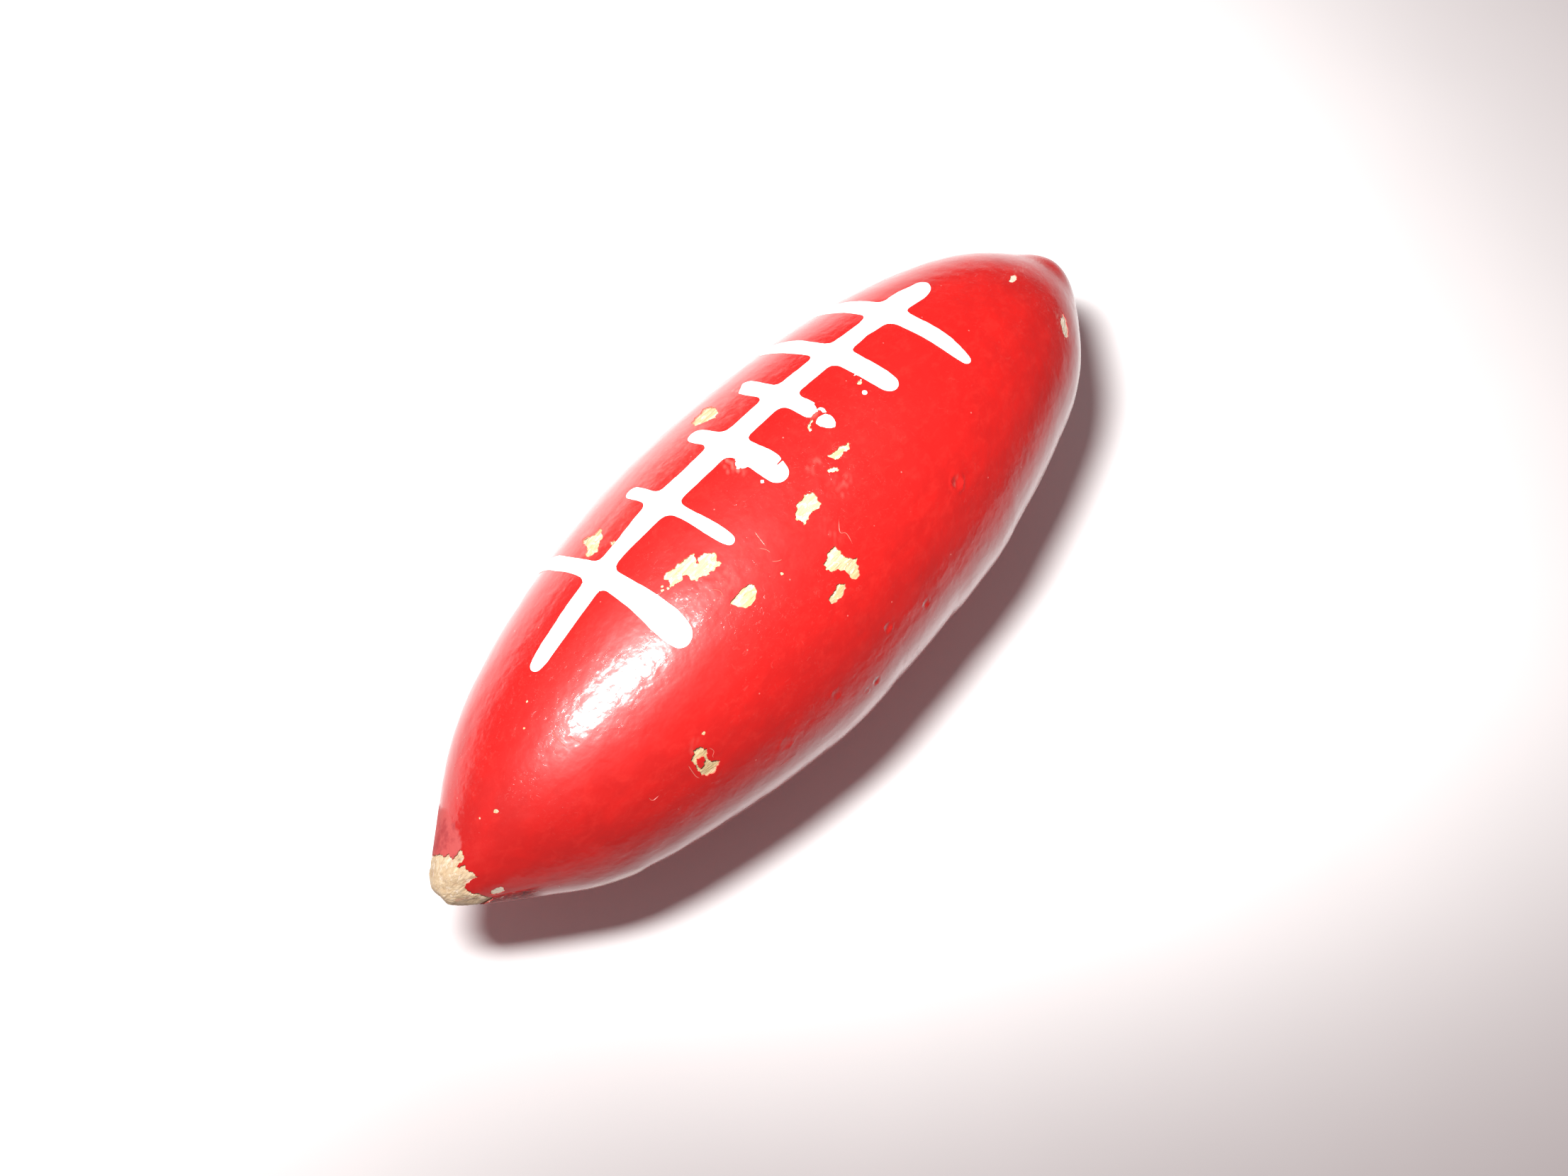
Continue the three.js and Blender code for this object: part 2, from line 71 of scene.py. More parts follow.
def _profile_table():
    per = 60
    c = catmull(PROFILE, per)
    # a light blur of the knots' curvature, mirrored past the poles
    n = len(c)
    left, right = c[1:n][::-1] * [1, -1], c[:n - 1][::-1] * [1, -1]
    wide = np.vstack([left, c, right])
    k = np.arange(-3 * per, 3 * per + 1)
    g = np.exp(-0.5 * (k / (0.75 * per)) ** 2)
    g /= g.sum()
    s = np.stack([np.convolve(wide[:, j], g, mode="same")[n - 1:2 * n - 1] for j in (0, 1)], 1)
    s[0, 1] = s[-1, 1] = 0
    # the blur pulls the poles in a little: stretch back to the same length
    s[:, 0] = np.interp(s[:, 0], [s[0, 0], -36, 36, s[-1, 0]], [c[0, 0], -36, 36, c[-1, 0]])
    length = np.concatenate([[0], np.cumsum(np.hypot(*np.diff(s, axis=0).T))])
    ll = np.linspace(0, length[-1], 6001)
    t, r = np.interp(ll, length, s[:, 0]), np.interp(ll, length, s[:, 1])
    dt, dr = np.gradient(t, ll), np.gradient(r, ll)
    q = np.hypot(dt, dr)
    return ll, t, r, -dr / q, dt / q


TL, TT, TR, TNT, TNR = _profile_table()
LENGTH = TL[-1]


def l_of_t(t):
    return np.interp(t, TT, TL)


def radius(l):
    return np.interp(l, TL, TR)


def surf(l, phi, out=0.0, floor=None):
    """Points (mm) of the ball: l is the run along the meridian, phi the angle from the top towards +Y in radians."""
    l, phi = np.asarray(l, float), np.asarray(phi, float)
    t = np.interp(l, TL, TT) + out * np.interp(l, TL, TNT)
    r = np.maximum(0, np.interp(l, TL, TR) + out * np.interp(l, TL, TNR))
    s = t / HALF_LENGTH
    bow = 1 - s * s
    z = SQUASH * r * np.cos(phi) + BOW_Z * bow + AXIS_HEIGHT
    if floor is not None:
        z = np.maximum(z, floor)
    return np.stack([t + SHIFT_X, r * np.sin(phi) + BOW_Y * bow + SHIFT_BOW_Y, z + 0 * phi], -1)


def unsurf(p):
    """(l, phi, distance outside the smooth surface) of points in mm."""
    t = p[:, 0] - SHIFT_X
    off = 0.0
    for _ in range(3):
        l = np.interp(t, TT, TL)
        s = t / HALF_LENGTH
        bow = 1 - s * s
        y = p[:, 1] - BOW_Y * bow - SHIFT_BOW_Y
        z = (p[:, 2] - BOW_Z * bow - AXIS_HEIGHT) / SQUASH
        phi = np.arctan2(y, z)
        off = (np.hypot(y, z) - np.interp(l, TL, TR)) * np.interp(l, TL, TNR)
        t = p[:, 0] - SHIFT_X - off * np.interp(l, TL, TNT)
    return np.interp(t, TT, TL), phi, off


# ---------------------------------------------------------------------- noise
_rs = np.random.RandomState(7)
_PERM = np.concatenate([_rs.permutation(256)] * 3)
_GRAD = _rs.normal(size=(256, 3))
_GRAD /= np.linalg.norm(_GRAD, axis=1)[:, None]


def noise3(p):
    """Gradient noise, about -0.7 to 0.7, of points of shape (n, 3)."""
    p = np.asarray(p, float)
    i = np.floor(p).astype(int)
    f = p - i
    u = f * f * f * (f * (f * 6 - 15) + 10)
    total = 0
    for dx in (0, 1):
        for dy in (0, 1):
            for dz in (0, 1):
                h = _PERM[_PERM[_PERM[(i[:, 0] + dx) & 255] + ((i[:, 1] + dy) & 255)] + ((i[:, 2] + dz) & 255)]
                g = _GRAD[h]
                d = (g * (f - [dx, dy, dz])).sum(1)
                w = (u[:, 0] if dx else 1 - u[:, 0]) * (u[:, 1] if dy else 1 - u[:, 1]) * (u[:, 2] if dz else 1 - u[:, 2])
                total = total + w * d
    return total


def fbm(p, octaves=3):
    total, a = 0, 1.0
    for k in range(octaves):
        total = total + a * noise3(p * 2.0 ** k + 17.3 * k)
        a *= 0.5
    return total


def smooth(x, a, b):
    w = np.clip((x - a) / (b - a), 0, 1)
    return w * w * (3 - 2 * w)


# ------------------------------------------------- damage, [axial mm, degrees]
CHIPS = {
    "a": [[-0.21, 58.6], [0.59, 60.2], [0.99, 59.8], [1.74, 61.2], [2.09, 58.5], [1.94, 54.3], [1.39, 50.7], [0.85, 49.6], [0.48, 51.3], [0.11, 52.5], [-0.26, 54.3], [-0.58, 55.2]],
    "b": [[-15.22, 50.6], [-15.03, 48.4], [-14.63, 47.1], [-14.24, 48.3], [-13.65, 49.9], [-13.06, 51], [-12.56, 53], [-12.46, 54.7], [-12.86, 55.2], [-13.35, 56.5], [-13.65, 59.1], [-13.94, 59.7], [-14.24, 58], [-14.44, 55.6], [-14.63, 53.1]],
    "b_small": [[-13.75, 42.9], [-13.25, 42.9], [-13.15, 44.4], [-13.45, 45.7], [-13.65, 44.2]],
    "c": [[-12.56, 14], [-12.56, 11.1], [-12.36, 9.9], [-11.67, 9.3], [-11.08, 9], [-10.88, 8.2], [-10.38, 8], [-10.04, 8.5], [-10.19, 10], [-9.89, 10.9], [-9.74, 12.2], [-10.19, 13.7], [-10.38, 14.7], [-10.78, 14.8], [-11.18, 13.5], [-11.33, 14.3], [-11.08, 15.1], [-10.78, 16.6], [-11.18, 17.6], [-11.67, 18.1], [-12.36, 18.6], [-12.96, 18.9], [-13.65, 19.2], [-13.85, 18.3], [-13.65, 17.1], [-13.94, 15.7], [-14.04, 14.9], [-13.75, 14.5], [-13.15, 13.8], [-12.76, 14.8]],
    "d": [[-11.98, -2.4], [-11.35, -2.1], [-10.56, -1.8], [-9.86, -2.2], [-9.57, -3.6], [-9.75, -5.3], [-10.32, -7.1], [-10.91, -7.5], [-11.39, -6.9], [-11.74, -4.9]],
    "e": [[-2.54, 4.3], [-1.39, 5.0], [-0.67, 3.6], [-0.7, 1.8], [-0.82, -1.3], [-1.52, -1.0], [-2.3, -0.6], [-3.09, -1.8], [-3.3, -1.7], [-3.2, 0.1], [-3.4, 1.8], [-2.86, 3.0]],
    "f": [[2.64, 8.8], [3.74, 7.8], [4.82, 6.9], [4.89, 5.9], [4.46, 5.1], [3.88, 5.9], [3.5, 5.2], [2.82, 5.7]],
    "g": [[1.5, 5.2], [2.12, 4.6], [2.46, 3.7], [2.22, 2.6], [1.78, 3.5]],
    "h": [[-4.37, -14.1], [-3.62, -12.9], [-2.63, -12.8], [-2.5, -15.0], [-2.58, -16.7], [-2.4, -18.4], [-1.74, -20.0], [-2.12, -21.6], [-2.33, -24.0], [-2.94, -25.1], [-3.37, -23.1], [-3.28, -20.9], [-3.66, -18.5], [-4.31, -18.0], [-4.49, -16.2]],
    "i": [[-4.49, -21.9], [-3.95, -23.7], [-4.41, -25.0], [-5.15, -25.6], [-6.02, -24.6], [-5.94, -23.5], [-5.14, -22.5]],
    "j": [[-21.66, -33.5], [-21.23, -31.3], [-20.9, -31.5], [-20.6, -32.4], [-20.3, -34.4], [-20.45, -36.2], [-20.66, -37.1], [-20.56, -39.9], [-20.28, -40.6], [-20.01, -41.8], [-20.22, -43.2], [-20.61, -44.6], [-20.98, -45.0], [-21.43, -44.3], [-21.71, -42.6], [-21.69, -40.5], [-21.67, -37.1], [-21.74, -35.3]],
    "l": [[9.75, 19.8], [10.15, 19.9], [10.46, 19.4], [10.36, 18.5], [9.88, 18.8]],
    "m": [[3.49, 18], [3.69, 18], [3.99, 19.3], [4.49, 20.1], [4.59, 20.9], [4.29, 20.6], [3.89, 20.4], [3.59, 19.5]],
    "nose": [[-37.7, -50.2], [-37.5, -48.3], [-37.15, -47.9], [-36.9, -51.2], [-36.95, -57.4], [-37.2, -58.6], [-37.48, -58.2], [-37.76, -57.2], [-37.86, -54.6]],
    "far_top": [[30.05, 11.7], [30.4, 10.7], [30.9, 10.6], [31.5, 11.9], [31.75, 13.8], [31.35, 14.6], [30.85, 13.9], [30.4, 13.0]],
    "far_side": [[30.8, -30.6], [31.25, -33.6], [32.05, -31.0], [32.75, -26.4], [32.75, -22.8], [31.95, -22.4], [31.2, -26.0]],
}
TINY = [[-14.35, 17.3, 0.13], [-14.6, 16.3, 0.13], [-14.2, 15.3, 0.13], [-19.88, -28.6, 0.2], [-26.89, 31.5, 0.13], [-28.5, 25.0, 0.13], [-33.89, 11.2, 0.25], [-34.93, 18.6, 0.1], [-7.41, -7.2, 0.16]]
# where the wood stands almost level with the enamel: axial mm, degrees, radius mm, height mm
PROUD = [(-37.35, -53.4, 0.6, 0.13), (32.0, -28.0, 1.9, 0.12), (30.9, 12.6, 1.0, 0.07)] + [(t, deg, r + 0.15, 0.115) for t, deg, r in TINY]
ISLAND = [[-21.4, -35.3], [-21.02, -35.7], [-20.86, -36.7], [-20.88, -37.7], [-21.08, -37.9], [-21.14, -39.1], [-21.35, -39.4], [-21.54, -39.5], [-21.58, -38.6], [-21.56, -37.1], [-21.52, -36.2]]
# the ragged edge of the enamel round the bare nose, one closed loop
NOSE_LOOP = [
    [-38.53, 70.7], [-38.42, 60.2], [-38.33, 55.1], [-38.26, 46.7], [-38.31, 40.6], [-38.23, 39.3], [-38.03, 35.2],
    [-37.98, 30.5], [-37.96, 26.1], [-38.04, 22.8], [-37.91, 22.1], [-37.76, 21.3], [-37.6, 21.0], [-37.37, 19.9],
    [-37.26, 19.5], [-37.22, 17.0], [-37.32, 15.1], [-37.36, 11.7], [-37.5, 9.4], [-37.62, 8.6], [-37.95, 10.8], [-38.26, 10.5],
    [-38.18, 7.1], [-37.89, 4.6], [-37.8, 2.0], [-37.9, -2.7], [-37.81, -9.0], [-37.77, -15.0], [-37.65, -20.6],
    [-37.93, -18.9], [-38.31, -19.4], [-38.7, -20.5], [-38.83, -22.8], [-38.84, -31.1], [-38.68, -36.3],
    [-38.59, -43.1], [-38.42, -44.3], [-38.25, -53.6], [-38.05, -59.9], [-37.86, -64.6], [-37.8, -72], [-38.1, -80],
    [-38.45, -92], [-38.3, -104], [-38.5, -118], [-38.25, -130], [-38.4, -144], [-38.1, -158], [-37.9, -170],
    [-38.2, -184], [-38.45, -198], [-38.3, -212], [-38.15, -226], [-38.4, -240], [-38.55, -255], [-38.3, -268], [-38.45, -280]]
# where the enamel is rubbed thin beside the nose: axial mm, lowest angle
THIN_EDGE = [[-39.5, 19.0], [-37.32, 19.7], [-37.07, 18.9], [-36.87, 22.3], [-36.67, 25.9], [-36.49, 29.9], [-36.31, 36.3], [-36.12, 41.5], [-35.7, 62.0], [-35.4, 100.0]]
# dents: axial mm, degrees, radius mm, depth mm, rim mm
DENTS = [
    (10.02, -28.3, 0.60, 0.11, 0.06), (-2.63, -46.6, 0.45, 0.09, 0.03), (-5.28, -62.5, 0.4, 0.12, 0.02),
    (-6.4, -62.6, 0.3, 0.1, 0.015), (0.9, 1.8, 0.8, 0.03, 0.012), (9.7, -17.2, 1.1, 0.02, 0.0),
    (10.15, -27.2, 0.16, 0.03, 0.01), (-9.3, -52.0, 0.5, 0.05, 0.02), (-14.8, -55.5, 0.6, 0.05, 0.02), (1.8, -52.5, 0.4, 0.06, 0.02),
]
# scratches: polylines, width mm
SCRATCHES = [
    ([[-16.06, -64.4], [-15.1, -64.1], [-14.2, -64.4]], 0.07),
    ([[-6.43, 7.7], [-6.6, 4.9], [-6.73, 2.1]], 0.07),
    ([[-0.73, -7.6], [-1.48, -10.9], [-1.15, -12.6], [-1.33, -16.3]], 0.06),
    ([[-27.31, 13.4], [-27.58, 10.7], [-27.64, 3.4]], 0.06),
    ([[-26.94, 6.1], [-26.73, 0.9]], 0.06),
    ([[-25.76, -36.3], [-25.63, -38.6], [-25.04, -38.2]], 0.06),
    ([[-22.15, -35.0], [-22.16, -36.9], [-22.16, -38.9], [-22.12, -41.2], [-21.95, -43.1]], 0.08),
    ([[-20.22, -34.2], [-20.06, -35.8], [-20.04, -37.1], [-20.28, -38.2], [-20.3, -39.3]], 0.06),
    ([[-7.3, -2.4], [-6.95, -3.6], [-6.6, -4.2]], 0.07), ([[-7.2, 3.2], [-6.9, 1.2], [-6.85, -0.2]], 0.06),
    ([[-11.95, 0.3], [-11.8, 2.6], [-12.1, 4.8]], 0.05),
]
# dull pinkish scuffs; the three broad patches at 48 to 52 degrees are painted sheen between the cross strokes: axial
# mm, degrees, half lengths along and across, mm, strength
SCUFFS_AND_SHEEN = [
    (37.6, 22.0, 2.6, 0.9, 0.5), (33.6, 17.0, 2.2, 0.55, 0.35), (4.6, 54.5, 0.7, 1.1, 0.4), (5.0, 21.4, 0.7, 0.8, 0.35),
    (-3.0, 28.0, 0.7, 1.2, 0.6), (1.4, -0.8, 1.3, 0.9, 0.30), (1.2, 9.0, 0.9, 0.7, 0.22), (31.8, -28.0, 1.3, 1.7, 0.6),
    (-20.9, -30.2, 0.9, 0.5, 0.2), (-10.7, 3.5, 1.2, 1.0, 0.15), (-1.9, -9.5, 0.8, 1.4, 0.15), (-5.0, 50.0, 3.0, 3.2, 0.12),
    (-12.4, 52.0, 3.0, 3.4, 0.14), (2.0, 48.0, 2.4, 2.6, 0.10), (10.0, -28.3, 0.5, 0.5, 0.35),
]
# lumpy glossy pools: axial mm, degrees, half lengths along and across, mm, strength
GLOSS = [(-12.9, 7.5, 3.0, 2.8, 1.0), (-10.0, 2.0, 2.4, 1.5, 0.5), (-8.2, 44.0, 1.2, 1.2, 0.6), (-19.4, 30.0, 1.6, 1.4, 0.5), (-24.5, 16.0, 2.6, 2.0, 0.35)]
# the turned outline is a little lobed along the right flank: run along the meridian, mm, and its height
LOBES = np.array([
    [0, 0], [5, 0], [9, 0], [12, 0.16], [15.5, 0.22], [17, 0.07], [19, 0.05], [20.6, -0.05], [24, -0.14], [27, -0.14],
    [29, -0.09], [32, -0.08], [34, -0.03], [36, 0.08], [39, 0.08], [41, 0.0], [43, -0.15], [51, -0.15], [53, 0.05],
    [56, 0.12], [58, 0.2], [60, 0.15], [61.3, 0.04], [63, -0.02], [71, -0.02], [74.8, 0.15], [78, 0.15], [80, 0.06], [81.6, 0], [90, 0]])


def displacement(l, phi):
    """Hand-sanded waviness, brush ripples and dents of the enamel surface, mm outwards (never above 0)."""
    p = surf(l, phi)
    q = p - [SHIFT_X, 0, AXIS_HEIGHT]
    d = 0.075 * noise3(q * [0.055, 0.10, 0.10] + 3.1) + 0.03 * noise3(q * [0.11, 0.2, 0.2] + 9.7)
    d = d + 0.012 * noise3(q * [0.14, 0.75, 0.75] + 21.0) + 0.006 * noise3(q * [0.35, 1.5, 1.5] + 31.0)
    calm = smooth(TL[-1] / 2 - np.abs(l - TL[-1] / 2), 0.0, 6.0)
    d = (d - 0.055) * calm - 0.002
    x, y = l, radius(l) * phi
    for t, deg, rad, depth, rim in DENTS:
        l0 = l_of_t(t)
        u = np.hypot(x - l0, radius(l) * (phi - math.radians(deg))) / rad
        d = d - depth * np.exp(-(u / 0.75) ** 2) + rim * np.exp(-((u - 1.15) / 0.28) ** 2)
    # lumps of thick enamel
    d = d + 0.012 * noise3(q * 0.8 + 51.0) * calm
    deg = np.degrees(phi)
    deg = (deg + 180) % 360 - 180
    flank = np.interp(l, [5, 24, 36, 48, 58, 68, 75, 80], [-99, -92, -89, -86, -83, -79, -73, -62])
    d = d + np.interp(l, LOBES[:, 0], LOBES[:, 1]) * np.exp(-((deg - flank) / 26) ** 2) * smooth(l, 6, 11)
    room = np.maximum(0, (14.72 - np.abs(p[:, 1])) / np.maximum(np.abs(np.sin(phi)), 0.3))
    above = 0.3 * smooth(deg, -142, -116) * (1 - smooth(deg, -62, -36))
    # the far tip's upper shoulder is squarer
    t = np.interp(l, TL, TT)
    shoulder = np.exp(-((t - 38.75) / 1.25) ** 2) * np.exp(-((deg - 12) / 38) ** 2)
    room = np.where(t > 39, np.minimum(room, np.maximum(0, (40.455 - p[:, 0]) / np.maximum(np.interp(l, TL, TNT), 0.05))), room)
    d = np.minimum(d, np.minimum(above, room))
    return np.where(t > 34, np.minimum(d + 0.42 * shoulder, np.maximum(np.minimum(room, 0.42), d)), d)


def painted(l, phi, out=0.0):
    p = surf(l, phi, displacement(l, phi) + out, floor=None)
    p[:, 0] = np.clip(p[:, 0], -40.46, 40.46)
    return p


def painted_normal(l, phi):
    """Normals of the displaced enamel surface."""
    e = 0.02
    r = np.maximum(radius(l), 0.3)
    a = painted(np.clip(l + e, 0, LENGTH), phi) - painted(np.clip(l - e, 0, LENGTH), phi)
    b = painted(l, phi + e / r) - painted(l, phi - e / r)
    n = np.cross(b, a)
    n /= np.maximum(np.linalg.norm(n, axis=1), 1e-12)[:, None]
    c = surf(l, phi) - np.stack([np.interp(l, TL, TT) + SHIFT_X, 0 * l, AXIS_HEIGHT + BOW_Z * (1 - (np.interp(l, TL, TT) / 40) ** 2)], 1)
    n[(n * c).sum(1) < 0] *= -1
    return n


# -------------------------------------------------------------- mesh helpers
def make_object(name, verts_mm, faces, smooth_faces=True):
    me = bpy.data.meshes.new(name)
    me.from_pydata([tuple(v) for v in (np.asarray(verts_mm) * MM)], [], faces)
    me.validate(verbose=False)
    me.update()
    o = bpy.data.objects.new(name, me)
    bpy.context.scene.collection.objects.link(o)
    if smooth_faces:
        me.polygons.foreach_set("use_smooth", [True] * len(me.polygons))
    return o


def closed_grid(ls, phis, points):
    """Closed skin over stations ls (between the poles) and angles phis. points(l, phi) gives mm."""
    L, P = np.meshgrid(ls, phis, indexing="ij")
    v = points(L.ravel(), P.ravel())
    n, m = len(ls), len(phis)
    near, far = points(np.array([0.0]), np.array([0.0])), points(np.array([LENGTH]), np.array([0.0]))
    verts = np.vstack([v, near, far])
    i, j = np.meshgrid(np.arange(n - 1), np.arange(m), indexing="ij")
    a = (i * m + j).ravel()
    b = (i * m + (j + 1) % m).ravel()
    faces = np.stack([a, a + m, b + m, b], 1)
    j = np.arange(m)
    cap0 = np.stack([np.full(m, n * m), j, (j + 1) % m], 1)
    cap1 = np.stack([np.full(m, n * m + 1), (n - 1) * m + (j + 1) % m, (n - 1) * m + j], 1)
    out = faces.tolist() + cap0.tolist() + cap1.tolist()
    # orientation: make the signed volume positive
    q = verts - verts.mean(0)
    f = faces
    vol = (q[f[:, 0]] * np.cross(q[f[:, 1]], q[f[:, 2]])).sum() + (q[f[:, 0]] * np.cross(q[f[:, 2]], q[f[:, 3]])).sum()
    if vol < 0:
        out = [x[::-1] for x in out]
    return verts, out


def boolean(o, cutter, kind, keep_cutter=False):
    mod = o.modifiers.new("cut", "BOOLEAN")
    mod.operation = kind
    mod.solver = "MANIFOLD"
    mod.object = cutter
    dg = bpy.context.evaluated_depsgraph_get()
    me = bpy.data.meshes.new_from_object(o.evaluated_get(dg))
    old = o.data
    o.modifiers.clear()
    o.data = me
    me.name = o.name
    bpy.data.meshes.remove(old)
    if not keep_cutter:
        data = cutter.data
        bpy.data.objects.remove(cutter)
        bpy.data.meshes.remove(data)
    return o


def coords(me):
    co = np.zeros(len(me.vertices) * 3)
    me.vertices.foreach_get("co", co)
    return co.reshape(-1, 3)


def ragged(outline, rough, seed, steps=3):
    """Outline [t, deg] -> closed [l, phi] with fractal edges, rough in mm."""
    rs = np.random.RandomState(seed)
    o = np.array(outline, float)
    l = l_of_t(o[:, 0])
    r = radius(l.mean())
    p = np.stack([l, r * np.radians(o[:, 1])], 1)
    amp = rough
    for _ in range(steps):
        nxt = np.roll(p, -1, 0)
        seg = nxt - p
        ln = np.hypot(*seg.T)
        nrm = np.stack([-seg[:, 1], seg[:, 0]], 1) / np.maximum(ln, 1e-9)[:, None]
        mid = (p + nxt) / 2 + nrm * (rs.uniform(-1, 1, len(p)) * np.minimum(amp, ln * 0.28))[:, None]
        p = np.stack([p, mid], 1).reshape(-1, 2)
        amp *= 0.6
    return np.stack([p[:, 0], p[:, 1] / r], 1)


def prism(outline, low, high):
    """Closed block between two offsets of the smooth surface; outline is [l, phi]."""
    o = np.asarray(outline)
    n = len(o)
    a, b = surf(o[:, 0], o[:, 1], low), surf(o[:, 0], o[:, 1], high)
    faces = [list(range(n))[::-1], [n + k for k in range(n)]]
    faces += [[k, (k + 1) % n, n + (k + 1) % n, n + k] for k in range(n)]
    v = np.vstack([a, b])
    # outward faces: the top cap must face outwards
    c = v[n:]
    e = c - c.mean(0)
    area = np.cross(e, np.roll(e, -1, 0)).sum(0)
    if area @ (b.mean(0) - a.mean(0)) < 0:
        faces = [f[::-1] for f in faces]
    return v, faces


def gather(blocks):
    verts, faces, n = [], [], 0
    for v, f in blocks:
        verts.append(v)
        faces += [[k + n for k in x] for x in f]
        n += len(v)
    return np.vstack(verts), faces


def clean(o):
    bm = bmesh.new()
    bm.from_mesh(o.data)
    bmesh.ops.remove_doubles(bm, verts=bm.verts, dist=2e-7)
    bmesh.ops.dissolve_degenerate(bm, edges=bm.edges, dist=1e-7)
    loose = [v for v in bm.verts if not v.link_faces]
    bmesh.ops.delete(bm, geom=loose, context="VERTS")
    bm.to_mesh(o.data)
    bm.free()
    o.data.update()


def attribute(me, name, values):
    a = me.attributes.get(name) or me.attributes.new(name, "FLOAT", "POINT")
    a.data.foreach_set("value", np.asarray(values, np.float32))


def finish_piece(o, nodes, material):
    o.data.materials.clear()
    o.data.materials.append(material)
    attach(o, "root")
    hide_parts(*nodes)


def shade_by_angle(me, degrees):
    me.polygons.foreach_set("use_smooth", [True] * len(me.polygons))
    me.set_sharp_from_angle(angle=math.radians(degrees))


# ------------------------------------------------------------------ materials
def nodes_of(name):
    m = bpy.data.materials.new(name)
    m.use_nodes = True
    nt = m.node_tree
    nt.nodes.clear()
    out = nt.nodes.new("ShaderNodeOutputMaterial")
    bsdf = nt.nodes.new("ShaderNodeBsdfPrincipled")
    nt.links.new(bsdf.outputs[0], out.inputs[0])
    return m, nt, bsdf


def node(nt, kind, **values):
    n = nt.nodes.new("ShaderNode" + kind)
    for k, v in values.items():
        if k in n.inputs:
            n.inputs[k].default_value = v
        else:
            setattr(n, k, v)
    return n


def mapped(nt, scale, rotation=(0, 0, 0), location=(0, 0, 0)):
    """Object coordinates in mm, scaled."""
    tc = node(nt, "TexCoord")
    mp = node(nt, "Mapping")
    mp.inputs["Scale"].default_value = [s / MM for s in scale]
    mp.inputs["Rotation"].default_value = rotation
    mp.inputs["Location"].default_value = location
    nt.links.new(tc.outputs["Object"], mp.inputs["Vector"])
    return mp.outputs[0]


def noise(nt, vector, scale=1.0, detail=2.0, rough=0.5, distortion=0.0):
    n = node(nt, "TexNoise")
    n.inputs["Scale"].default_value = scale
    n.inputs["Detail"].default_value = detail
    n.inputs["Roughness"].default_value = rough
    n.inputs["Distortion"].default_value = distortion
    nt.links.new(vector, n.inputs["Vector"])
    return n.outputs[0]


def ramp(nt, value, stops, interpolation="LINEAR"):
    r = node(nt, "ValToRGB")
    r.color_ramp.interpolation = interpolation
    while len(r.color_ramp.elements) < len(stops):
        r.color_ramp.elements.new(0.5)
    for e, (pos, col) in zip(r.color_ramp.elements, stops):
        e.position = pos
        e.color = (*col, 1) if len(col) == 3 else col
    nt.links.new(value, r.inputs[0])
    return r.outputs[0]


def grey(v):
    return (v, v, v)


def mix(nt, fac, a, b, blend="MIX"):
    m = node(nt, "Mix", data_type="RGBA", blend_type=blend)
    for s, v in ((m.inputs["Factor"], fac), (m.inputs["A"], a), (m.inputs["B"], b)):
        pass
    fac_in, a_in, b_in = m.inputs[0], m.inputs[6], m.inputs[7]
    for s, v in ((fac_in, fac), (a_in, a), (b_in, b)):
        if isinstance(v, (int, float)):
            s.default_value = v
        elif isinstance(v, tuple):
            s.default_value = (*v, 1)
        else:
            nt.links.new(v, s)
    return m.outputs[2]


def math_node(nt, op, a, b=None, clamp=False):
    m = node(nt, "Math", operation=op, use_clamp=clamp)
    for k, v in enumerate((a, b)):
        if v is None:
            continue
        if isinstance(v, (int, float)):
            m.inputs[k].default_value = v
        else:
            nt.links.new(v, m.inputs[k])
    return m.outputs[0]


def attr(nt, name):
    a = node(nt, "Attribute", attribute_name=name)
    return a.outputs["Fac"]


def bump(nt, height, distance_mm, strength=1.0, normal=None):
    b = node(nt, "Bump")
    if isinstance(strength, (int, float)):
        b.inputs["Strength"].default_value = strength
    else:
        nt.links.new(strength, b.inputs["Strength"])
    b.inputs["Distance"].default_value = distance_mm * MM
    nt.links.new(height, b.inputs["Height"])
    if normal is not None:
        nt.links.new(normal, b.inputs["Normal"])
    return b.outputs[0]


